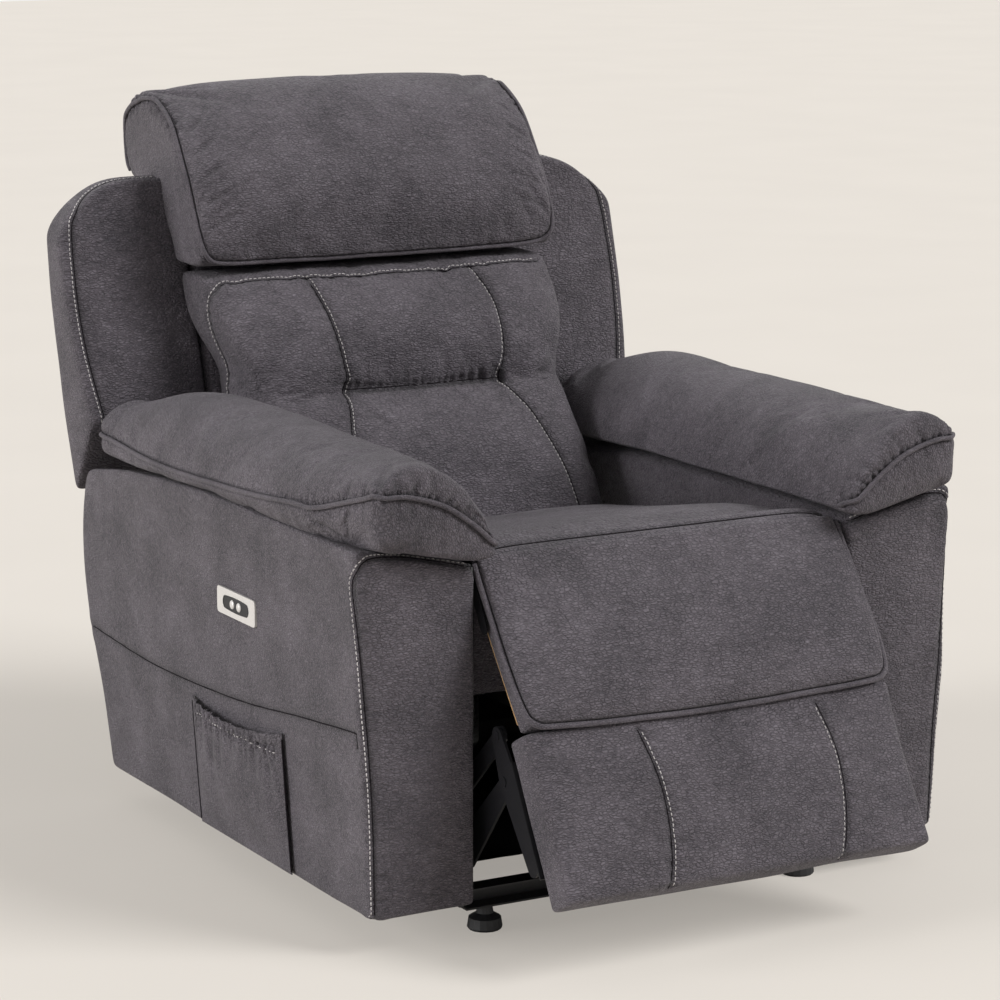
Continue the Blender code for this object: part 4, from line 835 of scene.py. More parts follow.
# ---------------------------------------------------------------- arm pads
def make_arm_pad(word, side, cover):
    """The pillow on the arm, corded round its rim and gathered at both ends."""
    def form(u, v, w):
        y = mix(PAD_FRONT, PAD_REAR, (v + 1) / 2)
        rear = smooth((v - 0.35) / 0.65)
        front = smooth((-v - 0.55) / 0.45)
        outer = PAD_OUTER - 0.020 * rear - 0.030 * front
        inner = PAD_INNER + 0.035 * rear + 0.012 * front
        low = arm_top(u, min(0.3, max(ARM_FRONT, y))) + 0.006 + 0.016 * smooth((-u - 0.66) / 0.34)
        edge = 0.560 + 0.022 * u + front * (0.006 + 0.018 * (u + 1))
        crown = PAD_CROWN * (1 - abs(u) ** 2.6) * (1 - 0.52 * rear ** 1.4) * (1 - 0.36 * front)
        z = mix(low, edge + crown, (w + 1) / 2)
        if w < 0:
            z -= 0.004 * front * (1 - u) / 2
        return side * mix(inner, outer, (u + 1) / 2), y, z

    pad = cushion(f"arm_pad_cover_{word}", ((-0.74, -0.4, 0.0, 0.4, 0.74),
                                            (-0.94, -0.86, -0.77, -0.68, -0.58, -0.45, -0.25, 0.0, 0.25,
                                             0.48, 0.67, 0.82, 0.93), (-0.3, 0.4)), form, 3)
    rim = [(x * side, y, z) for x, y, z in
           [(0.300, 0.412, 0.548), (0.380, 0.423, 0.560), (0.430, 0.418, 0.562), (0.455, 0.390, 0.562),
            (0.467, 0.249, 0.560), (0.4755, 0.058, 0.563), (0.4757, -0.136, 0.572), (0.469, -0.273, 0.580),
            (0.464, -0.322, 0.584), (0.4517, -0.411, 0.608), (0.416, -0.452, 0.6156), (0.359, -0.452, 0.600),
            (0.316, -0.452, 0.573), (0.2857, -0.4496, 0.546), (0.276, -0.425, 0.532)]]
    line, _ = lay(tree_of(pad), rim)
    co = points_of(pad)
    far = reach(co, line)[0]
    low = form(0.0, -0.2, -1)[2]
    settle(pad, (far < 0.008) | (co[:, 2] < low + 0.006), 0.006, 3.5, 0.012)
    smoothed(pad, 1)
    soften(pad, 0.0014, 0.10, 5.0 + side)

    def ends(co, off):
        y = co[:, 1] - SHIFT
        front, rear = np.clip((-0.20 - y) / 0.12, 0, 1), np.clip((y - 0.27) / 0.10, 0, 1)
        top = np.where(off[:, 2] > 0, 1.0, 0.42)
        return top * (0.10 + 0.95 * front + 0.55 * rear)

    line, faces = lay(tree_of(pad), rim, step=CRISP)
    groove(pad, line, 0.0024, 0.0055, 0.0008, 0.9)
    gather(pad, line, cover.gather, 0.0115, 0.027, ends, 12 + side)
    for guide in ([(0.476, -0.300, 0.576), (0.474, -0.322, 0.560), (0.470, -0.352, 0.545),
                   (0.462, -0.372, 0.532)],
                  [(0.463, -0.392, 0.592), (0.466, -0.385, 0.570), (0.464, -0.377, 0.550),
                   (0.461, -0.372, 0.532)]):
        fold, _ = lay(tree_of(pad), mirrored(guide, side))
        crease(pad, fold, 0.0018, 0.0032, 0.006, 0.6)
    dress(pad, "base", [f"arm_pad_{word}"], pad_microfibre())
    cord = tube(f"arm_pad_piping_{word}", [line + faces * cover.piping * 0.5], cover.piping)
    dress(cord, "base", material=piping_cloth())


# ---------------------------------------------------------------- seat, flap and footrest
def make_seat():
    """The seat cushion's cover, crowned and falling to the rear."""
    def form(u, v, w):
        y = mix(SEAT_FRONT, SEAT_REAR, (v + 1) / 2)
        top = mix(SEAT_TOP_FRONT, SEAT_TOP_REAR, smooth((y - SEAT_FRONT) / (0.10 - SEAT_FRONT)))
        top -= 0.014 * smooth((y - 0.10) / 0.065)
        crown = 0.010 * (1 - u ** 4) * (1 - v ** 4)
        return u * (SEAT_HALF - 0.003 * (1 - v * v)), y, mix(SEAT_FOOT, top + crown, (w + 1) / 2)

    seat = cushion("seat_cover", ((-0.94, -0.6, -0.2, 0.2, 0.6, 0.94), (-0.94, -0.6, -0.2, 0.15, 0.5, 0.82),
                                  (-0.8, 0.75)), form, 3)
    co = points_of(seat)
    y = co[:, 1] - SHIFT
    edge = (np.abs(co[:, 0]) > 0.27) | (co[:, 2] < 0.43) | (y < -0.345) | (y > 0.14)
    settle(seat, edge, 0.012, 3.0, 0.010)
    smoothed(seat, 1)
    soften(seat, 0.0022, 0.13, 9.0)
    dress(seat, "base", ["seat_cushion"])


def flap_point(x, s, t):
    """A point x across, s down and t in front of the flap's board."""
    y, z = on_panel(FLAP_HINGE, FLAP_LEAN, s, t)
    return x, y, z


def make_flap(cover):
    """The flap below the seat's front: rounded lower corners and thick piping round its rim."""
    def form(u, v, w):
        bow = 0.009 * (1 - u * u) * smooth((-w - 0.4) / 0.6)
        s = mix(-0.016, FLAP_LENGTH - 0.001, (1 - w) / 2) + bow
        swell = 0.014 * math.sin(math.pi * min(1.0, max(0.0, s / FLAP_LENGTH)))
        edge = max(smooth((abs(u) - 0.84) / 0.16), smooth((-w - 0.84) / 0.16))
        t = mix(-0.0215, 0.0290 + swell * (1 - 0.4 * u * u) - 0.0110 * edge, (1 - v) / 2)
        taper = 0.0055 * (v + 1) / 2
        corner = max(0.0, min(1.0, (s - FLAP_LENGTH + FLAP_CORNER) / FLAP_CORNER))
        turned = FLAP_CORNER * (1 - math.sqrt(1 - 0.96 * corner * corner)) * abs(u) ** 3
        turned *= smooth((0.2 - v) / 1.2)
        s -= taper * smooth(-w)
        return flap_point(u * (PANEL_HALF - taper) - math.copysign(turned, u), s, t)

    flap = cushion("flap_cover", ((-0.95, -0.85, -0.45, 0.0, 0.45, 0.85, 0.95), (0.3,),
                                  (-0.94, -0.84, -0.4, 0.1, 0.5, 0.9)), form, 4)
    soften(flap, 0.0018, 0.10, 13.0)
    half = PANEL_HALF + 0.001
    low = FLAP_LENGTH
    bend = [(half - FLAP_CORNER + FLAP_CORNER * math.cos(k * math.pi / 8),
             low - FLAP_CORNER + FLAP_CORNER * math.sin(k * math.pi / 8)) for k in range(1, 4)]
    side_run = [(half - 0.003, -0.006), (half, 0.03), (half, 0.08), (half, 0.12), *bend,
                (half - FLAP_CORNER - 0.012, low + 0.001), (0.12, low + 0.006)]
    rim = [flap_point(-x, s, FLAP_RIM) for x, s in side_run] + [flap_point(0.0, low + 0.009, FLAP_RIM)]
    rim += [flap_point(x, s, FLAP_RIM) for x, s in reversed(side_run)]
    line, faces = lay(tree_of(flap), rim)
    groove(flap, line, 0.0020, 0.0075, 0.0, 1.0)
    dress(flap, "flap", ["flap_pad"])
    cord = tube("flap_piping", [line + faces * cover.flap_piping * 0.6], cover.flap_piping, 10)
    dress(cord, "flap", material=piping_cloth())


def make_hinge_cover(sewing):
    """The strip of cover that closes the joint between seat and flap, with the seat's front seam."""
    rows = [(-0.330, 0.5010), (-0.342, 0.5125), (-0.353, 0.5190), (-0.364, 0.5220), (-0.375, 0.5215),
            (-0.384, 0.5185), (-0.394, 0.5135), (-0.404, 0.5080)]
    half = SEAT_HALF - 0.006

    def place(u, v):
        y, z = rows[int(round((1 - v) / 2 * (len(rows) - 1)))]
        sag = 0.006 * (1 - u * u)
        return u * half, y - 0.3 * sag, z - 0.012 * abs(u) ** 12 + 0.2 * sag

    strip = cloth_grid("flap_hinge_cover", 40, len(rows) - 1, place)
    smoothed(strip, 2)
    down = (0, 0, -1)
    seam = [(-half + 0.004, -0.379, 0.535), (-0.14, -0.381, 0.535), (0.0, -0.382, 0.535),
            (0.14, -0.381, 0.535), (half - 0.004, -0.379, 0.535)]
    line, _ = lay(tree_of(strip), seam, down)
    face_towards(strip, 2, 1)
    groove(strip, line, 0.0022, 0.0040, 0.0008)
    thicken(strip, COVER_WALL)
    tree = tree_of(strip)
    points, faces = lay(tree, seam, down)
    strip.data.materials.append(microfibre())
    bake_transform(strip)
    # The seam's dark line is a near-black tube in its groove: painted shadow.
    dress(tube("seat_front_seam", [points], 0.0014, 6), "base", material=seam_fold())
    row = stitch_rows("seat_front_stitches", tree, [(points, faces, 1)], sewing)
    dress(row, "base", material=thread())


def panel_point(x, s, t):
    """A point x across, s down and t in front of the footrest's board."""
    y, z = on_panel(PANEL_TOP, PANEL_LEAN, s, t)
    return x, y, z


def make_footrest(sewing):
    """The footrest pad with its two topstitched seams, its face bare."""
    def form(u, v, w):
        s = mix(-0.013, PANEL_LENGTH, (1 - w) / 2)
        crown = 0.012 * (1 - u ** 4) * (1 - w ** 4)
        t = mix(-0.0125, 0.040 + crown, (1 - v) / 2)
        return panel_point(u * (PANEL_HALF - 0.004 * (1 - w * w) * (1 - v) / 2), s, t)

    pad = cushion("footrest_cover", ((-0.93, -0.65, -0.45, -0.2, 0.15, 0.4, 0.7, 0.93), (0.3,),
                                     (-0.9, -0.5, 0.0, 0.5, 0.93)), form, 4)
    soften(pad, 0.0018, 0.10, 17.0)
    down = (0.006, 0.07, 0.12, 0.17, 0.213)
    left, right = ([panel_point(x, s, 0.05) for x, s in zip(across, down)]
                   for across in ((-0.122, -0.1135, -0.1135, -0.120, -0.130),
                                  (0.155, 0.1635, 0.1610, 0.152, 0.139)))
    push = (0, math.cos(PANEL_LEAN), -math.sin(PANEL_LEAN))
    lines = [(left, push, 1), (right, push, -1)]
    for guide, towards, _ in lines:
        line, _ = lay(tree_of(pad), guide, towards)
        groove(pad, line, 0.0026, 0.0050, 0.0010)
        gather(pad, line, 0.0006, 0.018, 0.016, None, 71)
    dress(pad, "footrest", ["footrest_pad"])
    seams("footrest", pad, "footrest", lines, sewing)


def make_front_skirt():
    """The cloth that hangs in front of the seat box, behind the flap."""
    def place(u, v):
        t = (1 - v) / 2
        y = -0.3655 - 0.004 * t + 0.0015 * math.sin(u * 31 + 2.0 * t) * t
        return u * 0.2800, y, mix(0.497, 0.318, t) + 0.004 * math.sin(u * 5) * t

    skirt = cloth_grid("seat_front_skirt", 60, 14, place)
    thicken(skirt, 0.0014)
    outward(skirt)
    dress(skirt, "base")


def make_shade_sheet():
    """A thin near-black sheet under the frame from the rear rail forwards, sagging a little: painted shade that
    keeps the floor seen through the gap under the seat dark.
    """
    def place(u, v):
        sag = 0.006 * (1 - u * u) * (1 - v * v) + 0.0008 * noise.noise(Vector((u * 9, v * 9, 2.0)))
        return (u * SHADE_SHEET["half"], mix(SHADE_SHEET["front"], SHADE_SHEET["rear"], (v + 1) / 2),
                SHADE_SHEET["z"] - sag)

    cloth = cloth_grid("base_dust_cover", 48, 48, place)
    thicken(cloth, 0.0008)
    outward(cloth)
    dress(cloth, "base", material=shade_sheet_cloth())


# ---------------------------------------------------------------- back
def back_plane(z):
    """y of the plane on which the back's cushions lie, at height z."""
    return BACK_PLANE_Y + (z - BACK_FOOT) * math.tan(BACK_LEAN)


def back_rear(z):
    """y of the back's rear face at height z."""
    return mix(0.515, 0.590, (z - 0.44) / 0.47)


def make_outside_back(sewing):
    """The cover of the outside back, and the skirt that hangs from its lower edge."""
    def form(u, v, w):
        z = mix(BACK_FOOT, BACK_TOP, (w + 1) / 2)
        return u * CORE_HALF, mix(back_plane(z), back_rear(z), (v + 1) / 2), z

    core = cushion("outside_back_cover", ((-0.92, -0.5, 0.0, 0.5, 0.92), (0.0,), (-0.92, -0.5, 0.0, 0.5, 0.92)),
                   form, 4)
    soften(core, 0.0014, 0.12, 21.0)
    lines = [([(x, 0.62, 0.43), (x, 0.62, 0.60), (x, 0.62, 0.76), (x, 0.62, 0.89)], (0, -1, 0), side)
             for x, side in ((-0.235, -1), (0.235, 1))]
    lines.append(([(-0.235, 0.62, 0.885), (0.0, 0.62, 0.892), (0.235, 0.62, 0.885)], (0, -1, 0), 0))
    for guide, towards, _ in lines:
        line, _ = lay(tree_of(core), guide, towards)
        groove(core, line, 0.0022, 0.0060)
    dress(core, "backrest", ["back_upholstery"])
    seams("outside_back", core, "backrest", lines, sewing)

    def hanging(u, v, w):
        z = mix(SKIRT_FOOT, BACK_FOOT + 0.050, (w + 1) / 2)
        wave = 0.0022 * math.sin(6.0 * u + 1.0) * (1 - w) / 2
        return u * (CORE_HALF - 0.013), back_rear(z) - mix(0.0110, 0.0012, (v + 1) / 2) + wave, z

    skirt = cushion("back_skirt", ((-0.96, -0.6, -0.3, 0.0, 0.3, 0.6, 0.96), (0.0,), (-0.94, -0.5, 0.2, 0.8)),
                    hanging, 3)
    hem = [(x, 0.62, SKIRT_FOOT + 0.020) for x in (-0.245, 0.0, 0.245)]
    dress(skirt, "backrest")
    seams("back_skirt", skirt, "backrest", [(hem, (0, -1, 0), 1)], sewing)


def make_wing(word, side, sewing):
    """A wing of the back with its rounded top corner and topstitched seam."""
    def form(u, v, w):
        t = (w + 1) / 2
        low = mix(WING_FOOT + 0.125, WING_FOOT, (v + 1) / 2)
        top = BACK_TOP + 0.004 - 0.080 * max(0.0, (u - 0.1) / 0.9) ** 2.3
        z = mix(low, top, t)
        y = mix(back_plane(z) + 0.0015, back_rear(z) + 0.001, (v + 1) / 2)
        half = WING_HALF - 0.012 * (1 - t) ** 1.5 + 0.004 * math.sin(math.pi * t)
        return side * mix(CORE_HALF + 0.0008, half, (u + 1) / 2), y, z

    wing = cushion(f"wing_cover_{word}", ((-0.85, -0.4, 0.2, 0.8), (0.0,), (-0.9, -0.5, -0.1, 0.25, 0.6, 0.92)),
                   form, 4)
    soften(wing, 0.0020, 0.10, 25.0 + side)
    seam = mirrored([(0.300, 0.555, 0.917), (0.349, 0.560, 0.912), (0.4087, 0.5526, 0.8967),
                     (0.4436, 0.5275, 0.8715), (0.4536, 0.517, 0.8361), (0.4568, 0.4917, 0.7503),
                     (0.4516, 0.464, 0.6569), (0.4378, 0.4453, 0.569)], side)
    line, _ = lay(tree_of(wing), seam)
    groove(wing, line, 0.0020, 0.0055, 0.0006)
    dress(wing, "backrest", [f"wing_{word}"])
    seams(f"wing_{word}", wing, "backrest", [(seam, None, side)], sewing)


def lumbar_front(z):
    """y of the lumbar cushion's face at height z."""
    low_y, low_z = 0.128, 0.424
    crease_y, crease_z = 0.270, 0.617
    top_y, top_z = 0.384, 0.783
    if z < crease_z:
        t = (z - low_z) / (crease_z - low_z)
        return mix(low_y, crease_y, t) - 0.026 * math.sin(math.pi * min(1.0, max(0.0, t)) ** 0.8)
    t = (z - crease_z) / (top_z - crease_z)
    return mix(crease_y, top_y, t) - 0.020 * math.sin(math.pi * min(1.0, t) ** 0.75)


def make_lumbar(cover, sewing):
    """The cushion of the back: three panels across, pulled in by a crease at mid height."""
    def form(u, v, w):
        z = mix(0.4165, 0.783, (w + 1) / 2)
        half = mix(LUMBAR_HALF_LOW, LUMBAR_HALF_HIGH, smooth((z - 0.645) / 0.06))
        front = lumbar_front(z)
        rise = z - 0.617
        tuck = math.exp(-(rise / (0.022 if rise > 0 else 0.008)) ** 2)
        front += 0.024 * tuck * smooth((0.160 - abs(u * half)) / 0.035)
        front += 0.030 * smooth((abs(u) - 0.80) / 0.20)
        return u * half, mix(front, back_plane(z) - 0.0006, (v + 1) / 2), z

    across = (-0.92, -0.72, -0.5, -0.38, -0.25, -0.1, 0.1, 0.25, 0.38, 0.5, 0.72, 0.92)
    upward = (-0.9, -0.6, -0.1, 0.02, 0.075, 0.14, 0.22, 0.42, 0.66, 0.9)
    pad = cushion("lumbar_cover", (across, (0.4,), upward), form, 3)
    inner_left = [(-0.1368, 0.3, 0.775), (-0.1246, 0.3, 0.723), (-0.1223, 0.3, 0.6605), (-0.1202, 0.3, 0.626),
                  (-0.1427, 0.2, 0.5665), (-0.165, 0.15, 0.500), (-0.180, 0.12, 0.440)]
    inner_right = [(0.1414, 0.3, 0.775), (0.1572, 0.3, 0.7255), (0.1494, 0.3, 0.662), (0.1391, 0.3, 0.616),
                   (0.1636, 0.2, 0.572), (0.1841, 0.15, 0.503), (0.1941, 0.12, 0.439)]
    outer_left = [(-0.250, 0.4, 0.560), (-0.258, 0.4, 0.640), (-0.268, 0.4, 0.700), (-0.274, 0.4, 0.745),
                  (-0.266, 0.4, 0.768), (-0.235, 0.39, 0.7775), (-0.150, 0.38, 0.7790), (0.0, 0.38, 0.7785),
                  (0.150, 0.38, 0.7790), (0.235, 0.39, 0.7775), (0.266, 0.4, 0.768)]
    fold = [(-0.1190, 0.3, 0.6185), (-0.040, 0.3, 0.6165), (0.050, 0.3, 0.6165), (0.1380, 0.3, 0.6165)]
    push = (0, 1, 0)
    held = np.zeros(len(pad.data.vertices), bool)
    co = points_of(pad)
    for guide in (inner_left, inner_right, fold):
        line, _ = lay(tree_of(pad), guide, push)
        held |= reach(co, line)[0] < 0.007
    rear = np.array([back_plane(z) for z in co[:, 2]]) + SHIFT
    held |= (rear - co[:, 1] < 0.03) | (np.abs(co[:, 0]) > 0.262) | (co[:, 2] < 0.44)
    settle(pad, held, 0.010, 3.0, 0.012)
    smoothed(pad, 1)
    soften(pad, 0.0020, 0.08, 31.0)

    def by_height(co, off):
        return np.where(off[:, 2] > 0, 1.0, 0.30) * (0.5 + 1.0 * np.clip((co[:, 0] + 0.06) / 0.20, 0, 1))

    line, _ = lay(tree_of(pad), fold, push, CRISP)
    groove(pad, line, 0.006, 0.0065, 0.0)
    gather(pad, line, cover.gather * 1.2, 0.0115, 0.024, by_height, 41)
    for guide, spread in ((inner_left, 81), (inner_right, 82)):
        line, _ = lay(tree_of(pad), guide, push, CRISP)
        groove(pad, line, 0.0032, 0.0052, 0.0012)
        gather(pad, line, 0.0009, 0.018, 0.020, None, spread)
    line, _ = lay(tree_of(pad), outer_left, None, CRISP)
    groove(pad, line, 0.0022, 0.0050, 0.0006)
    gather(pad, line, 0.0009, 0.016, 0.018, None, 83)
    for guide in ([(-0.116, 0.2, 0.612), (-0.100, 0.2, 0.590), (-0.080, 0.2, 0.568)],
                  [(0.130, 0.2, 0.612), (0.122, 0.2, 0.600), (0.112, 0.2, 0.586)],
                  [(0.236, 0.25, 0.628), (0.215, 0.25, 0.622), (0.185, 0.25, 0.620)]):
        line, _ = lay(tree_of(pad), guide, push)
        crease(pad, line, 0.0022, 0.0070, 0.012, 0.30)
    dress(pad, "backrest", ["lumbar_cushion"])
    seams("lumbar", pad, "backrest", [(inner_left, push, 1), (inner_right, push, -1), (outer_left, None, 1),
                                      (fold, push, 0)], sewing)


def make_headrest(cover):
    """The bolster: a corded front panel over a gusset, with diagonal pulls at its ends."""
    rows = ((0.797, 0.402, 0.500), (0.812, 0.382, 0.502), (0.860, 0.386, 0.530), (0.898, 0.404, 0.620),
            (0.914, 0.413, 0.668), (0.940, 0.430, 0.682), (0.990, 0.467, 0.688), (1.026, 0.509, 0.668),
            (HEADREST_TOP, 0.563, 0.625))

    def form(u, v, w):
        index = min(int(round((w + 1) / 2 * (len(rows) - 1))), len(rows) - 1)
        z, front, rear = rows[index]
        ends = abs(u) ** 5
        z_drop = 0.014 * ends * smooth((z - 0.96) / 0.10)
        return u * HEADREST_HALF, mix(front + 0.016 * ends, rear, (v + 1) / 2), z - z_drop

    levels = [-1 + 2 * k / (len(rows) - 1) for k in range(1, len(rows) - 1)]
    across = (-0.96, -0.89, -0.79, -0.62, -0.3, 0.0, 0.3, 0.62, 0.79, 0.89, 0.96)
    pad = cushion("headrest_cover", (across, (0.0,), levels), form, 3)
    x = 0.2955
    side_run = [(-x, 0.668, 0.916), (-x, 0.688, 0.955), (-x, 0.682, 0.990), (-x, 0.648, 1.014),
                (-x, 0.615, 1.026), (-x, 0.585, 1.032), (-x, 0.548, 1.026), (-x, 0.500, 0.9945),
                (-x, 0.452, 0.930), (-x, 0.420, 0.870), (-x + 0.001, 0.405, 0.835), (-x + 0.010, 0.400, 0.810),
                (-x + 0.040, 0.402, 0.801), (-0.130, 0.402, 0.800)]
    rim = side_run + [(0.0, 0.402, 0.800)] + [(-a, b, c) for a, b, c in reversed(side_run)]
    line, faces = lay(tree_of(pad), rim)
    co = points_of(pad)
    far = reach(co, line)[0]
    held = (far < 0.007) | (np.abs(co[:, 0]) > 0.297) | ((co[:, 1] - SHIFT > 0.49) & (co[:, 2] < 0.96))
    settle(pad, held, 0.010, 3.0, 0.010)
    smoothed(pad, 1)
    soften(pad, 0.0018, 0.10, 35.0)

    def corners(co, off):
        wide = np.abs(co[:, 0])
        top = np.clip((co[:, 2] - 0.975) / 0.03, 0, 1)
        foot = np.clip((0.85 - co[:, 2]) / 0.04, 0, 1)
        return 0.12 + 0.9 * top + 0.25 * foot + 0.25 * (wide > 0.296)

    line, faces = lay(tree_of(pad), rim, step=CRISP)
    groove(pad, line, 0.0024, 0.0052, 0.0008, 0.9)
    gather(pad, line, cover.gather * 0.9, 0.010, 0.020, corners, 51)
    places = ((0.985, 0.475), (0.955, 0.452), (0.920, 0.430), (0.885, 0.412), (0.850, 0.398))
    for k, (z, y) in enumerate(places):
        for side in (-1, 1):
            fold, _ = lay(tree_of(pad), [(side * 0.288, y, z), (side * 0.270, y, z + 0.012),
                                         (side * (0.246 - 0.004 * k), y, z + 0.030)], (0, 1, 0))
            crease(pad, fold, 0.0018, 0.0042, 0.020, 0.40)
    dress(pad, "backrest", ["headrest"])
    cord = tube("headrest_piping", [line + faces * cover.piping * 0.5], cover.piping)
    dress(cord, "backrest", material=piping_cloth())


# ---------------------------------------------------------------- pocket and switch
def make_pocket(sewing):
    """The side pocket, drawn up by an elastic below its top edge."""
    front, rear = POCKET["front"], POCKET["rear"]

    def place(a, b):
        rise = (b + 1) / 2
        y = mix(front, rear, (a + 1) / 2)
        z = mix(POCKET["foot"], POCKET["top"] - 0.012 * (1 - a * a) - 0.012 * (a + 1) / 2, rise)
        bulge = POCKET["bulge"] * (1 - a ** 4) * smooth(rise * 2.2)
        near_top = smooth((rise - 0.45) / 0.5)
        inside = (1 - a ** 8)
        z += 0.0024 * noise.noise(Vector((y / 0.009, 0, 3))) * near_top * inside
        slack = 0.0035 * noise.noise(Vector((y / 0.055, z / 0.10, 8.0))) * inside * smooth(rise * 3)
        hem = 0.0014 * smooth((rise - 0.925) / 0.01) * inside
        pinch = -0.0022 * math.exp(-((rise - 0.915) / 0.012) ** 2) * inside
        return -(arm_outer(z) + 0.0030 + bulge + slack + hem + pinch), y, z

    pouch = cloth_grid("side_pocket_cover", 160, 100, place)
    face_towards(pouch, 0, -1)
    inward = (1, 0, 0)
    guide = [(-arm_outer(0.22), mix(front, rear, (k + 0.5) / 12), POCKET["top"] - 0.030) for k in range(12)]
    elastic, _ = lay(tree_of(pouch), guide, inward)

    def tucked(co, off):
        room = (rear - front) / 2 - abs(co[:, 1] - SHIFT - (front + rear) / 2)
        return np.where(off[:, 2] > 0, 1.0, 0.8) * np.clip(room, 0, 0.012) / 0.012

    gather(pouch, elastic, 0.0036, 0.0090, 0.018, tucked, 71, 0.0026)
    gather(pouch, elastic, 0.0040, 0.0190, 0.070, tucked, 72, 0.0040)
    thicken(pouch, COVER_WALL, 1.0)
    dress(pouch, "base", ["side_pocket"])
    tree = tree_of(pouch)
    # The pocket's side seams get near-black tubes along them: painted shadow in their grooves.
    folds = [lay(tree, [(-0.47, y, z) for z in (top, 0.15, 0.058)], inward)
             for y, top in ((rear, 0.232), (front, 0.244))]
    dress(tube("side_pocket_seams", [points for points, _ in folds], 0.0012, 6), "base", material=seam_fold())
    hem = lay(tree, [(x, y - SHIFT, z) for x, y, z in elastic[::6]], inward)
    row = stitch_rows("side_pocket_stitches", tree, [(*hem, 0)], sewing)
    dress(row, "base", material=thread())


def make_switch_trim():
    """The dark oblong ring round the two buttons, and the thin dark plate that they come through."""
    y, z = SWITCH_CENTRE
    face = SWITCH_FACE + 0.0036
    reach_y, reach_z = SWITCH_RING
    plastic = finishes()["black_plastic"]

    def oblong(angle, size):
        flat = max(-1, min(1, 1.8 * math.cos(angle)))
        return (y + (reach_y - reach_z) * flat + reach_z * size * math.cos(angle),
                z + reach_z * size * math.sin(angle))

    loop = to_frame([(-face, *oblong(2 * math.pi * k / 64, 1)) for k in range(65)])
    dress(tube("switch_trim", [loop], 0.0010, 6), "base", material=plastic)
    bpy.ops.object.select_all(action="DESELECT")
    bpy.ops.mesh.primitive_cylinder_add(vertices=64, radius=1.0, depth=0.0005)
    plate = bpy.context.object
    plate.name = plate.data.name = "switch_recess"
    move_points(plate, to_frame([(-(face + h), *oblong(math.atan2(b, a), 0.98))
                                 for a, b, h in points_of(plate)]))
    outward(plate)
    dress(plate, "base", material=plastic)


# ---------------------------------------------------------------- operators
class ARMCHAIR_OT_arms(bpy.types.Operator):
    """Upholster both arms and their pillow pads"""
    bl_idname = "armchair.arms"
    bl_label = "Arms and arm pads"

    def execute(self, context):
        scene = context.scene
        for word, side in SIDES:
            make_arm(word, side, scene.armchair_stitches)
            make_arm_pad(word, side, scene.armchair_upholstery)
        return {"FINISHED"}


class ARMCHAIR_OT_seat(bpy.types.Operator):
    """Upholster the seat, the flap and the footrest"""
    bl_idname = "armchair.seat"
    bl_label = "Seat, flap and footrest"

    def execute(self, context):
        scene = context.scene
        make_seat()
        make_flap(scene.armchair_upholstery)
        make_hinge_cover(scene.armchair_stitches)
        make_footrest(scene.armchair_stitches)
        make_front_skirt()
        make_shade_sheet()
        return {"FINISHED"}


class ARMCHAIR_OT_back(bpy.types.Operator):
    """Upholster the outside back, the wings, the lumbar cushion and the headrest"""
    bl_idname = "armchair.back"
    bl_label = "Back, wings and headrest"

    def execute(self, context):
        scene = context.scene
        make_outside_back(scene.armchair_stitches)
        for word, side in SIDES:
            make_wing(word, side, scene.armchair_stitches)
        make_lumbar(scene.armchair_upholstery, scene.armchair_stitches)
        make_headrest(scene.armchair_upholstery)
        return {"FINISHED"}


class ARMCHAIR_OT_pocket(bpy.types.Operator):
    """Sew the gathered side pocket and trim the switch"""
    bl_idname = "armchair.pocket"
    bl_label = "Side pocket and switch"

    def execute(self, context):
        make_pocket(context.scene.armchair_stitches)
        make_switch_trim()
        return {"FINISHED"}


class ARMCHAIR_OT_finishes(bpy.types.Operator):
    """Give every hard part of the frame and mechanism its finish"""
    bl_idname = "armchair.finishes"
    bl_label = "Hard finishes"

    def execute(self, context):
        kinds = finishes()
        slots = {entry["slot"]: entry for entry in frame["record"].get("materials", [])}
        for node in frame["nodes"].values():
            if node.hide_render:
                continue
            for slot in node.material_slots:
                name = slot.material.name.split(".")[0]
                if name not in slots or name not in kinds:
                    raise RuntimeError(f"{node.name} has no finish for {name}")
                slot.material = kinds[name]
        return {"FINISHED"}


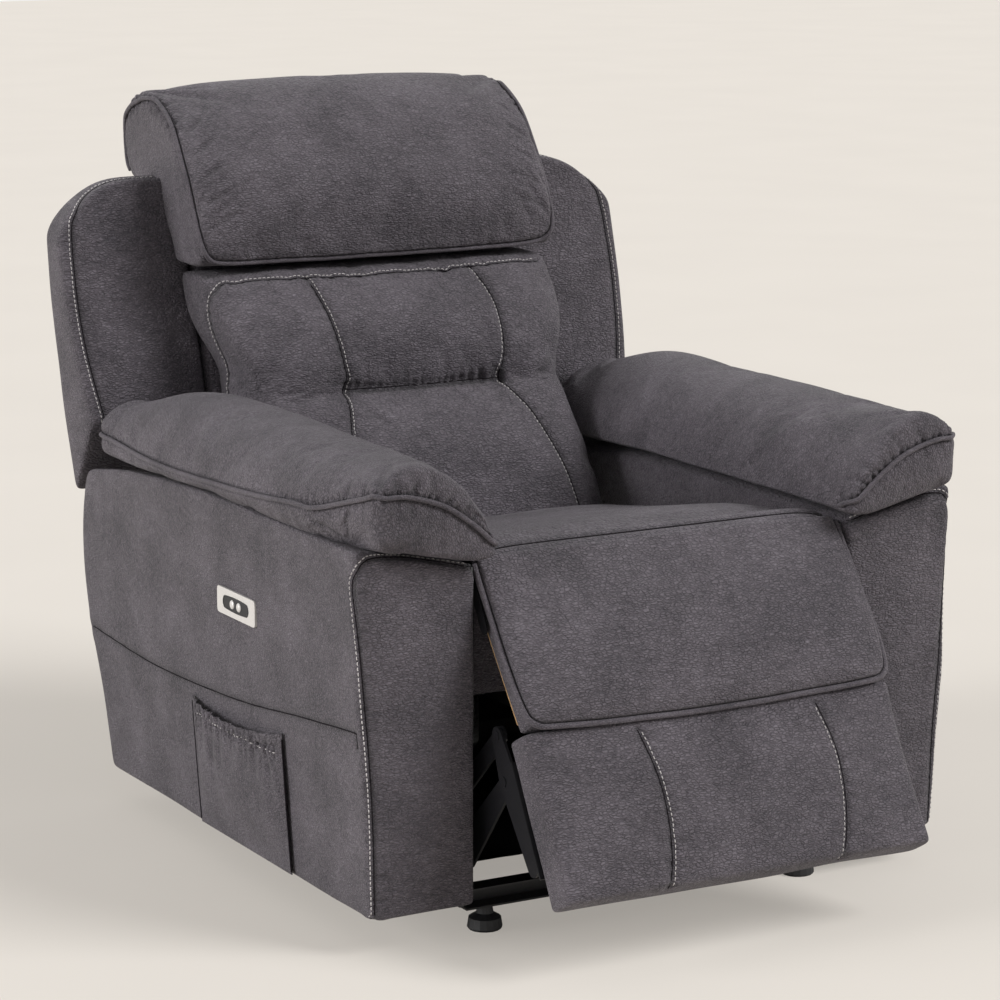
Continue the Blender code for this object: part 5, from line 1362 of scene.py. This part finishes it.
class ARMCHAIR_OT_stage(bpy.types.Operator):
    """Set the floor, the soft light and the camera"""
    bl_idname = "armchair.stage"
    bl_label = "Stage"

    def execute(self, context):
        scene, stage = context.scene, context.scene.armchair_stage
        bpy.ops.object.select_all(action="DESELECT")
        bpy.ops.mesh.primitive_plane_add(size=40.0)
        floor = context.object
        floor.name = "floor"
        material, tree, shader = new_material("matt_floor", Roughness=0.9, Specular_IOR_Level=0.1)
        place = add_node(tree, "ShaderNodeTexCoord").outputs["Object"]
        cloud = add_node(tree, "ShaderNodeTexNoise", {"Vector": place, "Scale": 2.0, "Detail": 2.0})
        tone = tuple(stage.floor)
        colour = ramp(tree, cloud.outputs["Fac"], [(0.3, tuple(c * 0.98 for c in tone)), (0.7, tone)])
        tree.links.new(colour, shader.inputs["Base Color"])
        rays = add_node(tree, "ShaderNodeLightPath")
        lift = add_node(tree, "ShaderNodeMath", {0: rays.outputs["Is Camera Ray"], 1: 0.42},
                        operation="MULTIPLY")
        even = add_node(tree, "ShaderNodeEmission", {"Color": colour})
        both = add_node(tree, "ShaderNodeMixShader", {0: lift.outputs[0], 1: shader.outputs[0],
                                                      2: even.outputs[0]})
        tree.links.new(both.outputs[0], tree.nodes["Material Output"].inputs["Surface"])
        floor.data.materials.append(material)

        world = bpy.data.worlds.new("studio")
        scene.world = world
        world.use_nodes = True
        tree = world.node_tree
        back = tree.nodes["Background"]
        back.inputs["Color"].default_value = (1.0, 0.985, 0.965, 1.0)
        rays = add_node(tree, "ShaderNodeLightPath")
        seen = add_node(tree, "ShaderNodeMath", {0: rays.outputs["Is Camera Ray"],
                                                 1: rays.outputs["Is Glossy Ray"]}, operation="MAXIMUM")
        seen = add_node(tree, "ShaderNodeMath", {0: seen.outputs[0],
                                                 1: rays.outputs["Is Transmission Ray"]}, operation="MAXIMUM")
        level = add_node(tree, "ShaderNodeMapRange", {0: seen.outputs[0], 3: stage.room, 4: 0.92})
        tree.links.new(level.outputs[0], back.inputs["Strength"])

        for name, place, spread, power in (("key_light", (0.50, -0.55, 0.67), 28, stage.key),
                                           ("side_light", (-0.95, 0.16, 0.28), 30, stage.side)):
            bpy.ops.object.light_add(type="SUN", location=[4 * p for p in place])
            lamp = context.object
            lamp.name = name
            lamp.data.angle = math.radians(spread)
            lamp.data.energy = power
            lamp.rotation_euler = (-Vector(place)).to_track_quat("-Z", "Y").to_euler()

        bpy.ops.object.camera_add(location=(-2.408, -4.272 + SHIFT, 1.479),
                                  rotation=(math.radians(90 - 11.386), 0, math.radians(-29.207)))
        camera = context.object
        camera.data.lens = stage.lens
        camera.data.sensor_width = 36.0
        scene.camera = camera
        scene.view_settings.view_transform = "Standard"
        return {"FINISHED"}


class ARMCHAIR_PT_panel(bpy.types.Panel):
    """Lists the armchair's pieces and settings"""
    bl_label = "Recliner armchair"
    bl_idname = "ARMCHAIR_PT_panel"
    bl_space_type = "VIEW_3D"
    bl_region_type = "UI"
    bl_category = "Armchair"

    def draw(self, context):
        for operator in OPERATORS:
            self.layout.operator(operator.bl_idname)
        for group, settings in SETTINGS.items():
            box = self.layout.box()
            for name in settings.__annotations__:
                box.prop(getattr(context.scene, group), name)


SETTINGS = {"armchair_upholstery": UpholsterySettings, "armchair_stitches": StitchSettings,
            "armchair_finishes": FinishSettings, "armchair_stage": StageSettings}
OPERATORS = (ARMCHAIR_OT_arms, ARMCHAIR_OT_seat, ARMCHAIR_OT_back, ARMCHAIR_OT_pocket, ARMCHAIR_OT_finishes,
             ARMCHAIR_OT_stage)


def register():
    """Registers the settings, operators and panel."""
    for kind in (*SETTINGS.values(), *OPERATORS, ARMCHAIR_PT_panel):
        bpy.utils.register_class(kind)
    for group, settings in SETTINGS.items():
        setattr(bpy.types.Scene, group, bpy.props.PointerProperty(type=settings))


def unregister():
    """Takes them away again."""
    for group in SETTINGS:
        delattr(bpy.types.Scene, group)
    for kind in reversed((*SETTINGS.values(), *OPERATORS, ARMCHAIR_PT_panel)):
        bpy.utils.unregister_class(kind)


def main():
    """Builds every group with its operator."""
    register()
    for operator in OPERATORS:
        group, name = operator.bl_idname.split(".")
        getattr(getattr(bpy.ops, group), name)()


if __name__ == "__main__":
    main()
